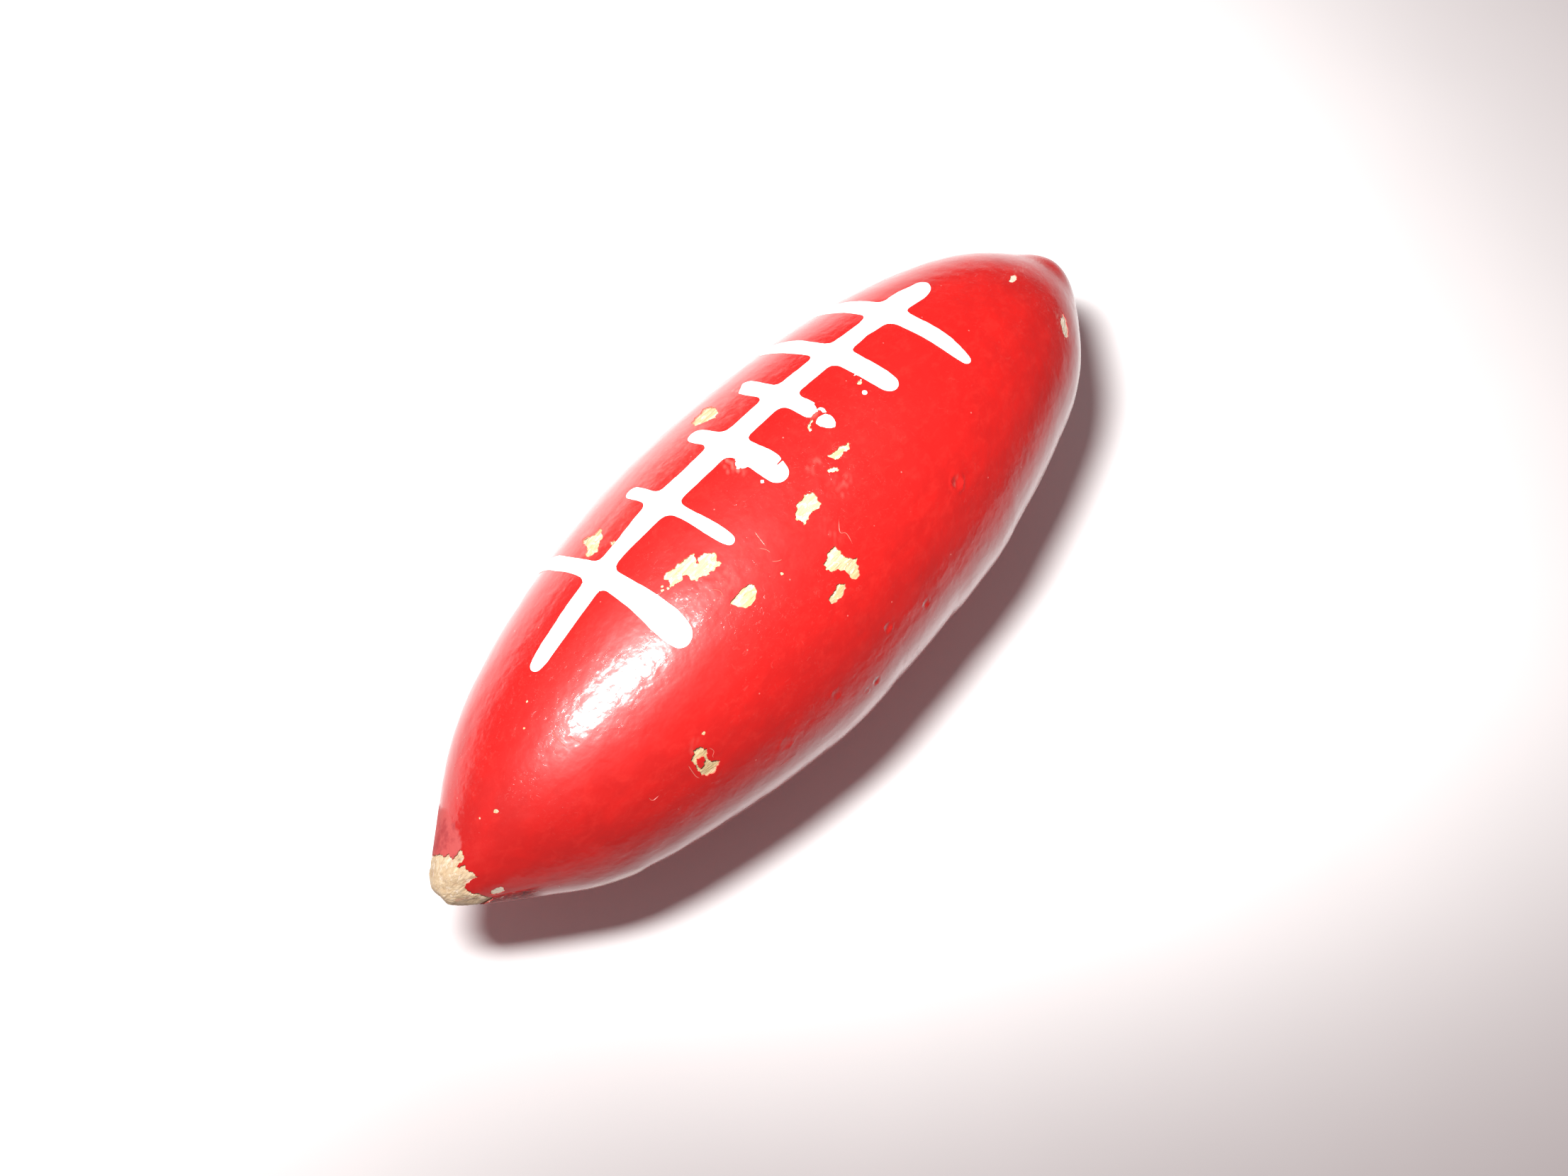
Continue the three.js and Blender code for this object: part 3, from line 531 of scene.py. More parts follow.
def enamel_material():
    m, nt, s = nodes_of("red_enamel")
    broad = noise(nt, mapped(nt, (0.05, 0.12, 0.12)), 1, 3)
    streak = noise(nt, mapped(nt, (0.10, 0.9, 0.9)), 1, 3, 0.6)
    mottle = noise(nt, mapped(nt, (0.28, 0.34, 0.34), (0, 0, 0), (8, 3, 5)), 1, 3, 0.55)
    base = mix(nt, ramp(nt, broad, [(0.3, grey(0)), (0.7, grey(1))]), (0.42, 0.0042, 0.0030), (0.47, 0.0062, 0.0042))
    base = mix(nt, math_node(nt, "MULTIPLY", ramp(nt, streak, [(0.35, grey(1)), (0.62, grey(0))]), 0.35), base, (0.37, 0.0038, 0.0030))
    base = mix(nt, math_node(nt, "MULTIPLY", ramp(nt, mottle, [(0.40, grey(1)), (0.58, grey(0))]), 0.55), base, (0.37, 0.0042, 0.0032))
    cloud = noise(nt, mapped(nt, (0.8, 1.0, 1.0), (0, 0, 0), (1, 1, 7)), 1, 5, 0.7, 0.4)
    base = mix(nt, math_node(nt, "MULTIPLY", ramp(nt, cloud, [(0.50, grey(0)), (0.72, grey(1))]), 0.5), base, (0.50, 0.0165, 0.0115))
    # painted sheen beside the lacing: the red is lightened in cloudy patches where a broad highlight haze falls
    painted_sheen = attr(nt, "painted_sheen")
    base = mix(nt, math_node(nt, "MULTIPLY", painted_sheen, ramp(nt, cloud, [(0.35, grey(0.45)), (0.65, grey(1))])), base, (0.52, 0.055, 0.046))
    # enamel rubbed thin, where the pale wood glows through
    thin = attr(nt, "thin")
    blot = noise(nt, mapped(nt, (0.9, 0.9, 0.9)), 1, 4, 0.6)
    base = mix(nt, thin, base, mix(nt, ramp(nt, blot, [(0.40, grey(0)), (0.56, grey(1))]), (0.345, 0.036, 0.038), (0.45, 0.066, 0.062)))
    # chafed flakes under the nose: dark and red flakes, with pale flecks painted in as glints
    worn_and_glints = attr(nt, "worn_and_glints")
    chafe = noise(nt, mapped(nt, (1.5, 3.6, 3.6), (0, 0, 0), (2, 6, 1)), 1, 4, 0.6)
    base = mix(nt, worn_and_glints, base, ramp(nt, chafe, [(0.36, (0.10, 0.008, 0.010)), (0.46, (0.34, 0.010, 0.010)), (0.60, (0.38, 0.022, 0.022)), (0.68, (0.52, 0.30, 0.25))]))
    # pinkish scuffs, and broad patches of painted sheen between the cross strokes
    base = mix(nt, attr(nt, "scuff_and_sheen"), base, (0.50, 0.17, 0.14))
    # fine rub marks and dust specks
    rub_a = noise(nt, mapped(nt, (1.6, 2.6, 2.6), (0.3, 0.2, 0.5)), 1, 5, 0.7, 1.2)
    rub_b = noise(nt, mapped(nt, (2.4, 1.5, 1.5), (0.9, 0.1, -0.7), (4, 4, 1)), 1, 5, 0.7, 1.6)
    rub = math_node(nt, "ADD", ramp(nt, rub_a, [(0.60, grey(0)), (0.68, grey(1))]), ramp(nt, rub_b, [(0.61, grey(0)), (0.69, grey(1))]), True)
    patch = noise(nt, mapped(nt, (0.12, 0.12, 0.12), (0, 0, 0), (5, 2, 1)), 1, 2)
    rub = math_node(nt, "MULTIPLY", rub, ramp(nt, patch, [(0.42, grey(0)), (0.6, grey(1))]))
    base = mix(nt, math_node(nt, "MULTIPLY", rub, 0.16), base, (0.52, 0.09, 0.07))
    vor = node(nt, "TexVoronoi")
    vor.inputs["Scale"].default_value = 0.5
    nt.links.new(mapped(nt, (1, 1, 1)), vor.inputs["Vector"])
    speck = ramp(nt, vor.outputs["Distance"], [(0.020, grey(1)), (0.045, grey(0))])
    base = mix(nt, math_node(nt, "MULTIPLY", speck, 0.55), base, (0.62, 0.24, 0.20))
    # painted highlight: the cut walls of chips, scratches and the nose edge are lightened to pale salmon, as if lit
    edge = attr(nt, "edge")
    base = mix(nt, math_node(nt, "MULTIPLY", edge, 0.7), base, (0.60, 0.29, 0.22))
    nt.links.new(base, s.inputs["Base Color"])
    rgh = ramp(nt, noise(nt, mapped(nt, (0.3, 0.3, 0.3)), 1, 4, 0.6), [(0.3, grey(0.40)), (0.7, grey(0.47))])
    rgh = math_node(nt, "ADD", rgh, math_node(nt, "MULTIPLY", thin, 0.25), True)
    nt.links.new(rgh, s.inputs["Roughness"])
    s.inputs["IOR"].default_value = 1.5
    lw = node(nt, "LayerWeight")
    lw.inputs["Blend"].default_value = 0.5
    nt.links.new(ramp(nt, lw.outputs["Facing"], [(0.18, grey(0.42)), (0.55, grey(0.05))]), s.inputs["Specular IOR Level"])
    # the clear gloss over it: dulled by handling, rubbed off where the enamel is thin
    nt.links.new(math_node(nt, "SUBTRACT", 0.9, math_node(nt, "MULTIPLY", math_node(nt, "ADD", thin, worn_and_glints, True), 0.8), True), s.inputs["Coat Weight"])
    dull = ramp(nt, noise(nt, mapped(nt, (0.5, 0.7, 0.7), (0, 0, 0), (1, 9, 4)), 1, 4, 0.6), [(0.35, grey(0.13)), (0.65, grey(0.20))])
    dull = math_node(nt, "ADD", dull, math_node(nt, "MULTIPLY", rub, 0.10))
    # pools of thick enamel that dried lumpy and very glossy
    gloss = attr(nt, "gloss")
    nt.links.new(math_node(nt, "SUBTRACT", dull, math_node(nt, "MULTIPLY", gloss, 0.04)), s.inputs["Coat Roughness"])
    # orange peel of brushed enamel, then long brush ripples, then the rub marks
    peel = noise(nt, mapped(nt, (1.1, 1.35, 1.35)), 1, 1.0, 0.45, 0.25)
    peel2 = noise(nt, mapped(nt, (0.42, 0.48, 0.48), (0, 0, 0), (3, 3, 3)), 1, 1, 0.5)
    grit = noise(nt, mapped(nt, (2.6, 2.9, 2.9), (0, 0, 0), (6, 2, 8)), 1, 1.0, 0.5)
    ripple = noise(nt, mapped(nt, (0.12, 1.1, 1.1)), 1, 2)
    # seen edge-on the fine relief blurs away
    near = ramp(nt, lw.outputs["Facing"], [(0.42, grey(1)), (0.72, grey(0.22))])
    pool = noise(nt, mapped(nt, (0.50, 0.62, 0.62), (0, 0, 0), (4, 8, 2)), 1, 1.6, 0.5, 0.5)
    for share, socket in ((0.22, "Normal"), (0.62, "Coat Normal")):
        b = bump(nt, peel, 0.080 * share, near)
        b = bump(nt, peel2, 0.13 * share, near, b)
        b = bump(nt, grit, 0.022 * share, near, b)
        b = bump(nt, ripple, 0.012 * share, near, b)
        b = bump(nt, math_node(nt, "MULTIPLY", pool, gloss), 0.27 * share, 1.0, b)
        b = bump(nt, rub, 0.004, 1.0, b)
        b = bump(nt, math_node(nt, "MULTIPLY", blot, thin), 0.02, 1.0, b)
        b = bump(nt, math_node(nt, "MULTIPLY", chafe, worn_and_glints), 0.10, 1.0, b)
        nt.links.new(b, s.inputs[socket])
    return m


def white_material():
    m, nt, s = nodes_of("white_paint")
    n = noise(nt, mapped(nt, (0.4, 0.4, 0.4)), 1, 4)
    base = mix(nt, ramp(nt, n, [(0.35, grey(0)), (0.7, grey(1))]), (0.86, 0.845, 0.82), (0.78, 0.76, 0.725))
    dirt = noise(nt, mapped(nt, (2.2, 2.2, 2.2)), 1, 3, 0.6)
    base = mix(nt, math_node(nt, "MULTIPLY", ramp(nt, dirt, [(0.62, grey(0)), (0.74, grey(1))]), 0.2), base, (0.70, 0.54, 0.49))
    # thin at the very edge and along cracks, where the red shows through
    base = mix(nt, attr(nt, "faint"), base, (0.50, 0.11, 0.09))
    nt.links.new(base, s.inputs["Base Color"])
    nt.links.new(ramp(nt, n, [(0.3, grey(0.25)), (0.7, grey(0.38))]), s.inputs["Roughness"])
    b = bump(nt, noise(nt, mapped(nt, (1.2, 1.2, 1.2)), 1, 2), 0.04, 1.0)
    b = bump(nt, noise(nt, mapped(nt, (0.5, 5, 5)), 1, 2), 0.008, 1.0, b)
    nt.links.new(b, s.inputs["Normal"])
    s.inputs["Coat Weight"].default_value = 0.2
    return m


def wood_material():
    m, nt, s = nodes_of("bare_wood")
    grain = noise(nt, mapped(nt, (0.22, 2.6, 2.6)), 1, 5, 0.62, 0.8)
    fibre = noise(nt, mapped(nt, (1.1, 9.0, 9.0)), 1, 4, 0.6, 0.3)
    base = ramp(nt, grain, [(0.30, (0.33, 0.215, 0.105)), (0.43, (0.46, 0.345, 0.19)), (0.54, (0.56, 0.45, 0.27)), (0.68, (0.66, 0.57, 0.40))])
    base = mix(nt, math_node(nt, "MULTIPLY", ramp(nt, fibre, [(0.35, grey(1)), (0.6, grey(0))]), 0.4), base, (0.34, 0.23, 0.11))
    stain = noise(nt, mapped(nt, (1.3, 1.3, 1.3), (0, 0, 0), (7, 1, 4)), 1, 4, 0.65)
    base = mix(nt, math_node(nt, "MULTIPLY", ramp(nt, stain, [(0.60, grey(0)), (0.70, grey(1))]), 0.6), base, (0.48, 0.14, 0.11))
    gold = noise(nt, mapped(nt, (0.9, 2.3, 2.3), (0, 0.2, 0.4), (3, 5, 9)), 1, 4, 0.65, 0.6)
    base = mix(nt, math_node(nt, "MULTIPLY", ramp(nt, gold, [(0.50, grey(0)), (0.60, grey(1))]), math_node(nt, "SUBTRACT", 0.6, math_node(nt, "MULTIPLY", attr(nt, "tip"), 0.5))), base, (0.56, 0.36, 0.15))
    white = noise(nt, mapped(nt, (1.6, 3.0, 3.0), (0, 0.2, 0.4), (8, 1, 2)), 1, 4, 0.65, 0.6)
    base = mix(nt, math_node(nt, "MULTIPLY", ramp(nt, white, [(0.54, grey(0)), (0.62, grey(1))]), 0.7), base, (0.72, 0.66, 0.56))
    base = mix(nt, math_node(nt, "MULTIPLY", attr(nt, "tip"), 0.35), base, (0.58, 0.42, 0.29))
    pale = attr(nt, "pale")
    base = mix(nt, math_node(nt, "MULTIPLY", pale, 0.75), base, (0.68, 0.60, 0.50))
    olive = attr(nt, "olive")
    base = mix(nt, math_node(nt, "MULTIPLY", olive, 0.8), base, ramp(nt, stain, [(0.40, (0.42, 0.32, 0.155)), (0.54, (0.52, 0.42, 0.22)), (0.66, (0.50, 0.24, 0.17))]))
    nt.links.new(base, s.inputs["Base Color"])
    nt.links.new(ramp(nt, fibre, [(0.3, grey(0.62)), (0.7, grey(0.85))]), s.inputs["Roughness"])
    b = bump(nt, fibre, 0.06, 1.0)
    b = bump(nt, grain, 0.06, 1.0, b)
    nt.links.new(b, s.inputs["Normal"])
    s.inputs["IOR"].default_value = 1.45
    return m


RED, WHITE, BARE = enamel_material(), white_material(), wood_material()

# -------------------------------------------------------------- enamel coat
fine = 1.0


def spread(stops, total):
    """Positions with the densities given: [(start, end, step)]."""
    out = []
    for a, b, step in stops:
        n = max(1, int(round((b - a) / (step / total))))
        out.append(np.linspace(a, b, n, endpoint=False))
    return np.concatenate(out)


ls = spread([(0.25, 4.0, 0.22), (4.0, LENGTH - 4.0, 0.285), (LENGTH - 4.0, LENGTH - 0.2, 0.24)], fine)
phis = np.radians(spread([(-110, 112, 1.12), (112, 250, 3.2)], fine))
coat = make_object("red_enamel_coat", *closed_grid(ls, phis, lambda l, p: painted(l, p)))
# the belly is worn flat where it rests: z is limited after the grid is made
co = coords(coat.data)
co[:, 2] = np.maximum(co[:, 2], 2e-6)
coat.data.vertices.foreach_set("co", co.ravel())

lin = np.concatenate([np.linspace(0.4, 5, 18), np.linspace(5.6, LENGTH - 5.6, 130), np.linspace(LENGTH - 5, LENGTH - 0.4, 18)])
pin = np.radians(np.arange(0, 360, 4.0))


def inside(l, p):
    q = surf(l, p, displacement(l, p) - COAT)
    q[:, 2] = np.maximum(q[:, 2], COAT)
    return q


core_cut = make_object("cut_core", *closed_grid(lin, pin, inside))

# ragged bare nose
rs = np.random.RandomState(4)
loop = np.array(NOSE_LOOP)
rho = l_of_t(loop[:, 0])
loop = np.stack([rho * np.cos(np.radians(loop[:, 1])), rho * np.sin(np.radians(loop[:, 1]))], 1)
amp = 0.13
for _ in range(4):
    nxt = np.roll(loop, -1, 0)
    seg = nxt - loop
    ln = np.hypot(*seg.T)
    nrm = np.stack([-seg[:, 1], seg[:, 0]], 1) / ln[:, None]
    mid = (loop + nxt) / 2 + nrm * (rs.uniform(-1, 1, len(loop)) * np.minimum(amp, ln * 0.33))[:, None]
    loop = np.stack([loop, mid], 1).reshape(-1, 2)
    amp *= 0.62
NOSE_RIM = loop
edge_l, edge_phi = np.hypot(*loop.T), np.unwrap(np.arctan2(loop[:, 1], loop[:, 0]))
m = len(edge_phi)
top, low = surf(edge_l, edge_phi, 1.5), surf(edge_l, edge_phi, -1.0)
ring = np.stack([0 * edge_phi - 60, 9 * np.sin(edge_phi), AXIS_HEIGHT + 9 * np.cos(edge_phi)], 1)
verts = np.vstack([ring, top, low, [[-60, 0, AXIS_HEIGHT]], [[-38.6, 0.2, AXIS_HEIGHT]]])
j = np.arange(m)
k = (j + 1) % m
faces = np.vstack([np.stack([j, m + j, m + k, k], 1), np.stack([m + j, 2 * m + j, 2 * m + k, m + k], 1)]).tolist()
faces += np.stack([np.full(m, 3 * m), j, k], 1).tolist() + np.stack([2 * m + j, np.full(m, 3 * m + 1), 2 * m + k], 1).tolist()
nose_cut = make_object("cut_nose", verts, faces)
bm = bmesh.new()
bm.from_mesh(nose_cut.data)
bmesh.ops.recalc_face_normals(bm, faces=bm.faces)
bm.to_mesh(nose_cut.data)
bm.free()

chip_outlines = {k: ragged(v, 0.05 if k == "d" else 0.16, 11 + n) for n, (k, v) in enumerate(CHIPS.items())}
blocks = [prism(o, -0.55, 0.55) for o in chip_outlines.values()]
for n, (t, deg, size) in enumerate(TINY):
    a = np.linspace(0, 2 * np.pi, 7, endpoint=False)
    rs = np.random.RandomState(60 + n)
    rr = size * rs.uniform(0.6, 1.2, 7)
    l0 = l_of_t(t)
    blocks.append(prism(np.stack([l0 + rr * np.cos(a), math.radians(deg) + rr * np.sin(a) / radius(l0)], 1), -0.55, 0.55))
chip_cut = make_object("cut_chips", *gather(blocks))


def groove(line, width, depth):
    """A V-shaped cutter along a scratch."""
    o = np.array(line, float)
    l, phi = l_of_t(o[:, 0]), np.radians(o[:, 1])
    r = radius(l)
    p = np.stack([l, r * phi], 1)
    p = catmull(p, 6)
    d = np.gradient(p, axis=0)
    d /= np.hypot(*d.T)[:, None]
    nrm = np.stack([-d[:, 1], d[:, 0]], 1)
    s = np.linspace(0, 1, len(p))
    w = width * np.clip(np.minimum(s, 1 - s) * 6, 0.25, 1)
    rl = radius(p[:, 0])
    left, right = p + nrm * w[:, None] / 2 * 3, p - nrm * w[:, None] / 2 * 3
    f = lambda q, out: surf(q[:, 0], q[:, 1] / rl, displacement(q[:, 0], q[:, 1] / rl) + out)
    a, b, c = f(left, 2 * depth), f(right, 2 * depth), f(p, -depth)
    n = len(p)
    verts = np.vstack([a, b, c])
    faces = []
    for k in range(n - 1):
        faces += [[k, k + 1, n + k + 1, n + k], [n + k, n + k + 1, 2 * n + k + 1, 2 * n + k], [2 * n + k, 2 * n + k + 1, k + 1, k]]
    faces += [[0, n, 2 * n], [n - 1, 3 * n - 1, 2 * n - 1]]
    return verts, faces


scratch_cut = make_object("cut_scratches", *gather([groove(line, w, 0.035) for line, w in SCRATCHES]))
bm = bmesh.new()
bm.from_mesh(scratch_cut.data)
bmesh.ops.recalc_face_normals(bm, faces=bm.faces)
bm.to_mesh(scratch_cut.data)
bm.free()

solid = coat
boolean(solid, core_cut, "DIFFERENCE")
boolean(solid, nose_cut, "DIFFERENCE")

# the island of enamel inside the chip near the nose, cut from the same skin
island = bpy.data.objects.new("red_enamel_island", solid.data.copy())
bpy.context.scene.collection.objects.link(island)
island_cut = make_object("cut_island", *prism(ragged(ISLAND, 0.1, 5), -0.5, 0.5))
boolean(island, island_cut, "INTERSECT")

boolean(solid, chip_cut, "DIFFERENCE")
boolean(solid, scratch_cut, "DIFFERENCE")
for o in (solid, island):
    clean(o)


def dress_enamel(o):
    me = o.data
    shade_by_angle(me, 32)
    p = coords(me) / MM
    l, phi, off = unsurf(p)
    d = displacement(l, phi)
    t = np.interp(l, TL, TT)
    deg = np.degrees(phi)
    # worn thin beside the nose, and a little round both tips
    te = np.array(THIN_EDGE)
    thin = smooth(deg - np.interp(t, te[:, 0], te[:, 1]), -0.8, 1.6) * (1 - smooth(t, -36.1, -34.6)) * (1 - smooth(deg, 120, 150))
    thin = np.maximum(thin, 0.75 * smooth(t, 38.3, 39.8))
    if o.name == "red_enamel_island":
        thin = np.maximum(thin, 0.7)
    attribute(me, "thin", thin)
    # chafed flakes under the nose, whose pale flecks are painted glints
    worn_and_glints = smooth(-t, 34.6, 35.8) * smooth(-deg, 62.5, 66.0) * (1 - smooth(-deg, 84, 95))
    attribute(me, "worn_and_glints", worn_and_glints)
    # dull pinkish scuffs and broad patches of painted sheen: axial mm, degrees, half lengths, mm, strength
    scuff_and_sheen = np.zeros(len(t))
    x, y = l, radius(l) * phi
    grain = noise3(np.stack([l * 1.9 + y * 1.4, y * 3.2 - l * 1.2, 0 * l + 5], 1)) + 0.7 * noise3(np.stack([l * 4.4 + 3 * y, y * 7.0, 0 * l + 9], 1))
    for t0, d0, u0, v0, k0 in SCUFFS_AND_SHEEN:
        l0 = float(l_of_t(t0))
        w = ((x - l0) / u0) ** 2 + ((y - radius(l0) * math.radians(d0)) / v0) ** 2
        scuff_and_sheen = np.maximum(scuff_and_sheen, k0 * (1 - smooth(w, 0.3, 1.3)) * smooth(grain, -0.05, 0.4))
    attribute(me, "scuff_and_sheen", scuff_and_sheen)
    # painted sheen: lighter red between the cross strokes on the lacing side
    attribute(me, "painted_sheen", 0.65 * smooth(deg, 36, 60) * (1 - smooth(deg, 78, 95)) * smooth(t, -21, -12) * (1 - smooth(t, 0, 12)))
    gloss = np.zeros(len(t))
    for t0, d0, u0, v0, k0 in GLOSS:
        l0 = float(l_of_t(t0))
        w = ((x - l0) / u0) ** 2 + ((y - radius(l0) * math.radians(d0)) / v0) ** 2
        gloss = np.maximum(gloss, k0 * (1 - smooth(w, 0.2, 1.4)))
    attribute(me, "gloss", gloss)
    # cut walls below the enamel surface, which the material paints pale as a highlight
    below = (off - d) < -0.01
    attribute(me, "edge", np.where(below & (t < 35), 1.0, 0.0))
    # normals of the outer skin come from the shape itself, not from the cut mesh
    n = painted_normal(l, phi)
    count = len(me.loops)
    vi = np.zeros(count, int)
    me.loops.foreach_get("vertex_index", vi)
    lt = np.zeros(len(me.polygons), int)
    me.polygons.foreach_get("loop_total", lt)
    fn = np.zeros(len(me.polygons) * 3)
    me.polygons.foreach_get("normal", fn)
    fn = np.repeat(fn.reshape(-1, 3), lt, 0)
    cn = np.zeros(count * 3)
    me.corner_normals.foreach_get("vector", cn)
    cn = cn.reshape(-1, 3)
    good = ((fn * n[vi]).sum(1) > 0.97) & (np.abs(off - d)[vi] < 0.012) & (p[vi, 2] > 0.02)
    cn[good] = n[vi][good]
    me.normals_split_custom_set(cn.tolist())


dress_enamel(coat)
dress_enamel(island)
finish_piece(coat, ["red_enamel_coat"], RED)
finish_piece(island, ["red_enamel_island"], RED)

# ------------------------------------------------------------------ wood core
la, lb = float(l_of_t(-22.3)), float(l_of_t(5.2))
wl = spread([(0.12, 4.5, 0.11), (4.5, 8.4, 0.17), (8.4, la, 0.5), (la, lb, 0.17), (lb, float(l_of_t(29.6)), 0.6), (float(l_of_t(29.6)), float(l_of_t(33.4)), 0.2), (float(l_of_t(33.4)), LENGTH - 0.3, 0.6)], fine)
wp = np.radians(spread([(-70, -47, 1.4), (-47, 64, 0.60), (64, 114, 1.4), (114, 290, 3.5)], fine))


def bare(l, phi):
    """Run, mm, from the ragged enamel edge at the nose: above 0 where the wood is bare."""
    out = np.full(len(l), -9.0)
    near = l < 7.5
    x, y = l[near] * np.cos(phi[near]), l[near] * np.sin(phi[near])
    d, odd = np.full(x.shape, 1e9), np.zeros(x.shape, bool)
    for a, b in zip(NOSE_RIM, np.roll(NOSE_RIM, -1, 0)):
        e = b - a
        h = np.clip(((x - a[0]) * e[0] + (y - a[1]) * e[1]) / (e @ e), 0, 1)
        d = np.minimum(d, np.hypot(x - a[0] - h * e[0], y - a[1] - h * e[1]))
        odd ^= ((a[1] > y) != (b[1] > y)) & (x < (b[0] - a[0]) * (y - a[1]) / (b[1] - a[1] + 1e-12) + a[0])
    out[near] = np.where(odd, d, -d)
    return out


def wood_points(l, phi):
    p = surf(l, phi)
    q = p - [SHIFT_X, 0, AXIS_HEIGHT]
    nose = smooth(bare(l, phi), 0.02, 0.38)
    t, deg = np.interp(l, TL, TT), np.degrees(phi) % 360
    fibre = noise3(q * [0.9, 3.6, 3.6] + 4) * 0.045 + noise3(q * [2.2, 7.0, 7.0] + 8) * 0.02 - 0.02
    lump = fbm(q * 0.95 + 12.0, 4) * 0.10 + noise3(q * [1.6, 4.2, 4.2] + 3.0) * 0.05 + noise3(q * [3.0, 9.0, 9.0] + 6.0) * 0.02 - 0.045
    lump = lump + 0.17 * np.exp(-((t + 39.6) / 0.5) ** 2 - ((deg - 106) / 17) ** 2)
    lump = lump - 0.22 * np.exp(-((t + 40.4) / 0.3) ** 2) * smooth(deg, 130, 150) * (1 - smooth(deg, 230, 250))
    # shallow splintered hollows in the chips
    pits = np.minimum(0, fbm(q * [0.8, 1.5, 1.5] + 40.0, 3)) * 0.14
    proud = 0 * l
    for t0, deg0, r0, h0 in PROUD:
        l0 = float(l_of_t(t0))
        u = np.hypot(l - l0, radius(l0) * (phi - math.radians(deg0))) / r0
        proud = np.maximum(proud, h0 * (1 - smooth(u, 0.75, 1.35)))
    sunk = np.minimum(np.minimum(fibre, 0.0) + pits * (proud == 0) - WOOD + proud, -0.012)
    d = displacement(l, phi) + (1 - nose) * sunk + nose * (np.minimum(lump, 0.16) - 0.01)
    out = surf(l, phi, d)
    out[:, 0] = np.maximum(out[:, 0], -40.455)
    out[:, 2] = np.maximum(out[:, 2], WOOD)
    return out


wood = make_object("wood_core", *closed_grid(wl, wp, wood_points))
l, phi, off = unsurf(coords(wood.data) / MM)
t = np.interp(l, TL, TT)
pale = np.maximum(0.9 * smooth(t, 26, 29), smooth(-t, 36.4, 36.9) * (1 - smooth(-t, 37.5, 37.9)) * (np.degrees(phi) < -40))
attribute(wood.data, "pale", pale)
attribute(wood.data, "olive", (1 - smooth(np.hypot(t + 20.9, radius(l) * (phi + math.radians(38.5))), 2.6, 3.4)))
attribute(wood.data, "tip", smooth(-t, 36.2, 37.4) * (1 - pale))
finish_piece(wood, ["wood_core"], BARE)

# --------------------------------------------------------------- white lacing
SEAM = [
    [-24.38, 37.8, 1.1], [-23.76, 37.8, 1.42], [-22.99, 38, 1.53], [-21.09, 38.2, 1.67], [-19.65, 38.5, 1.78], [-17.77, 38.7, 1.82], [-16.3, 39.1, 1.72], [-14.53, 39.5, 1.6],
    [-13.06, 39.2, 1.66], [-11.57, 39, 1.96], [-10.09, 38.8, 2.15], [-8.6, 38.2, 2.2], [-7.1, 37.8, 2.2], [-5.61, 37.2, 2.12], [-4.11, 37, 2.16], [-2.61, 36.8, 2.18],
    [-1.11, 36.4, 2.08], [0.39, 36.2, 2], [3.39, 36.2, 1.98], [6.39, 36, 2.04], [9.38, 35.7, 2], [11.57, 35.5, 1.98], [13.85, 35.3, 1.88], [14.94, 35.4, 1.73],
    [16.03, 35.2, 1.88], [17.12, 35.5, 2.15], [18.4, 36, 2.4], [20.45, 36.3, 2.54], [21.7, 36.4, 2.55], [22.5, 36.2, 2.35], [23.17, 36.6, 2.0], [23.75, 37.7, 1.45]]
BARS = {
    "lace_bar_1": [[17.66, 74.2, 1.9], [17.76, 67.3, 2], [17.91, 59.5, 2.15], [18.15, 52.2, 2.25], [18.32, 44.8, 2.3], [18.5, 36, 2.2], [18.6, 29, 1.98], [18.65, 24.1, 1.86], [18.79, 17.5, 1.8], [18.89, 10.8, 1.72], [18.89, 5.5, 1.52], [18.91, 2, 1.28], [18.93, -0.7, 1]],
    "lace_bar_2": [[10.77, 66.4, 1.65], [10.87, 60.3, 1.85], [11.05, 53.1, 2], [11.13, 48.2, 1.92], [11.24, 44.1, 1.82], [11.42, 36, 1.9], [11.57, 29.5, 2.05], [11.58, 24.2, 2], [11.65, 18.9, 1.98], [11.7, 15.2, 1.92], [11.72, 12.1, 1.75]],
    "lace_bar_3": [[4.92, 51.6, 1.75], [4.92, 48.2, 1.83], [4.97, 44.7, 1.76], [5.03, 41.5, 1.7], [5.04, 36, 1.65], [5.11, 29.7, 1.6], [5.16, 26.5, 1.64], [5.19, 23.8, 1.66]],
    "lace_bar_4": [[-1.65, 49.5, 1.5], [-1.59, 47.3, 1.64], [-1.51, 43.8, 1.64], [-1.36, 36, 1.9], [-1.26, 29.8, 2.08], [-1.21, 26.3, 2.16], [-1.16, 23.1, 2.28], [-1.17, 20.4, 2.34], [-1.29, 17.5, 2.12], [-1.33, 16.1, 1.96]],
    "lace_bar_5": [[-8.68, 53.2, 1.25], [-8.66, 50, 1.3], [-8.65, 46.4, 1.28], [-8.7, 41.6, 1.3], [-8.7, 36, 1.3], [-8.61, 31.2, 1.12], [-8.56, 26.8, 1.03], [-8.5, 23.2, 1.09], [-8.43, 19.2, 1.18], [-8.37, 16, 1.19], [-8.31, 13.2, 1.06], [-8.27, 11.6, 0.88]],
    "lace_bar_6": [[-16.2, 82.2, 1.25], [-16.22, 75.3, 1.4], [-16.24, 68.3, 1.45], [-16.34, 61.3, 1.46], [-16.31, 55.2, 1.4], [-16.26, 50, 1.48], [-16.22, 45.2, 1.62], [-16.2, 38.6, 1.7], [-16.18, 31.6, 1.76], [-16.2, 25.5, 1.88], [-16.18, 20.3, 2.05], [-16.2, 15.1, 2.25], [-16.22, 9.8, 2.42], [-16.24, 5.5, 2.4], [-16.25, 2.4, 2.1]],
}
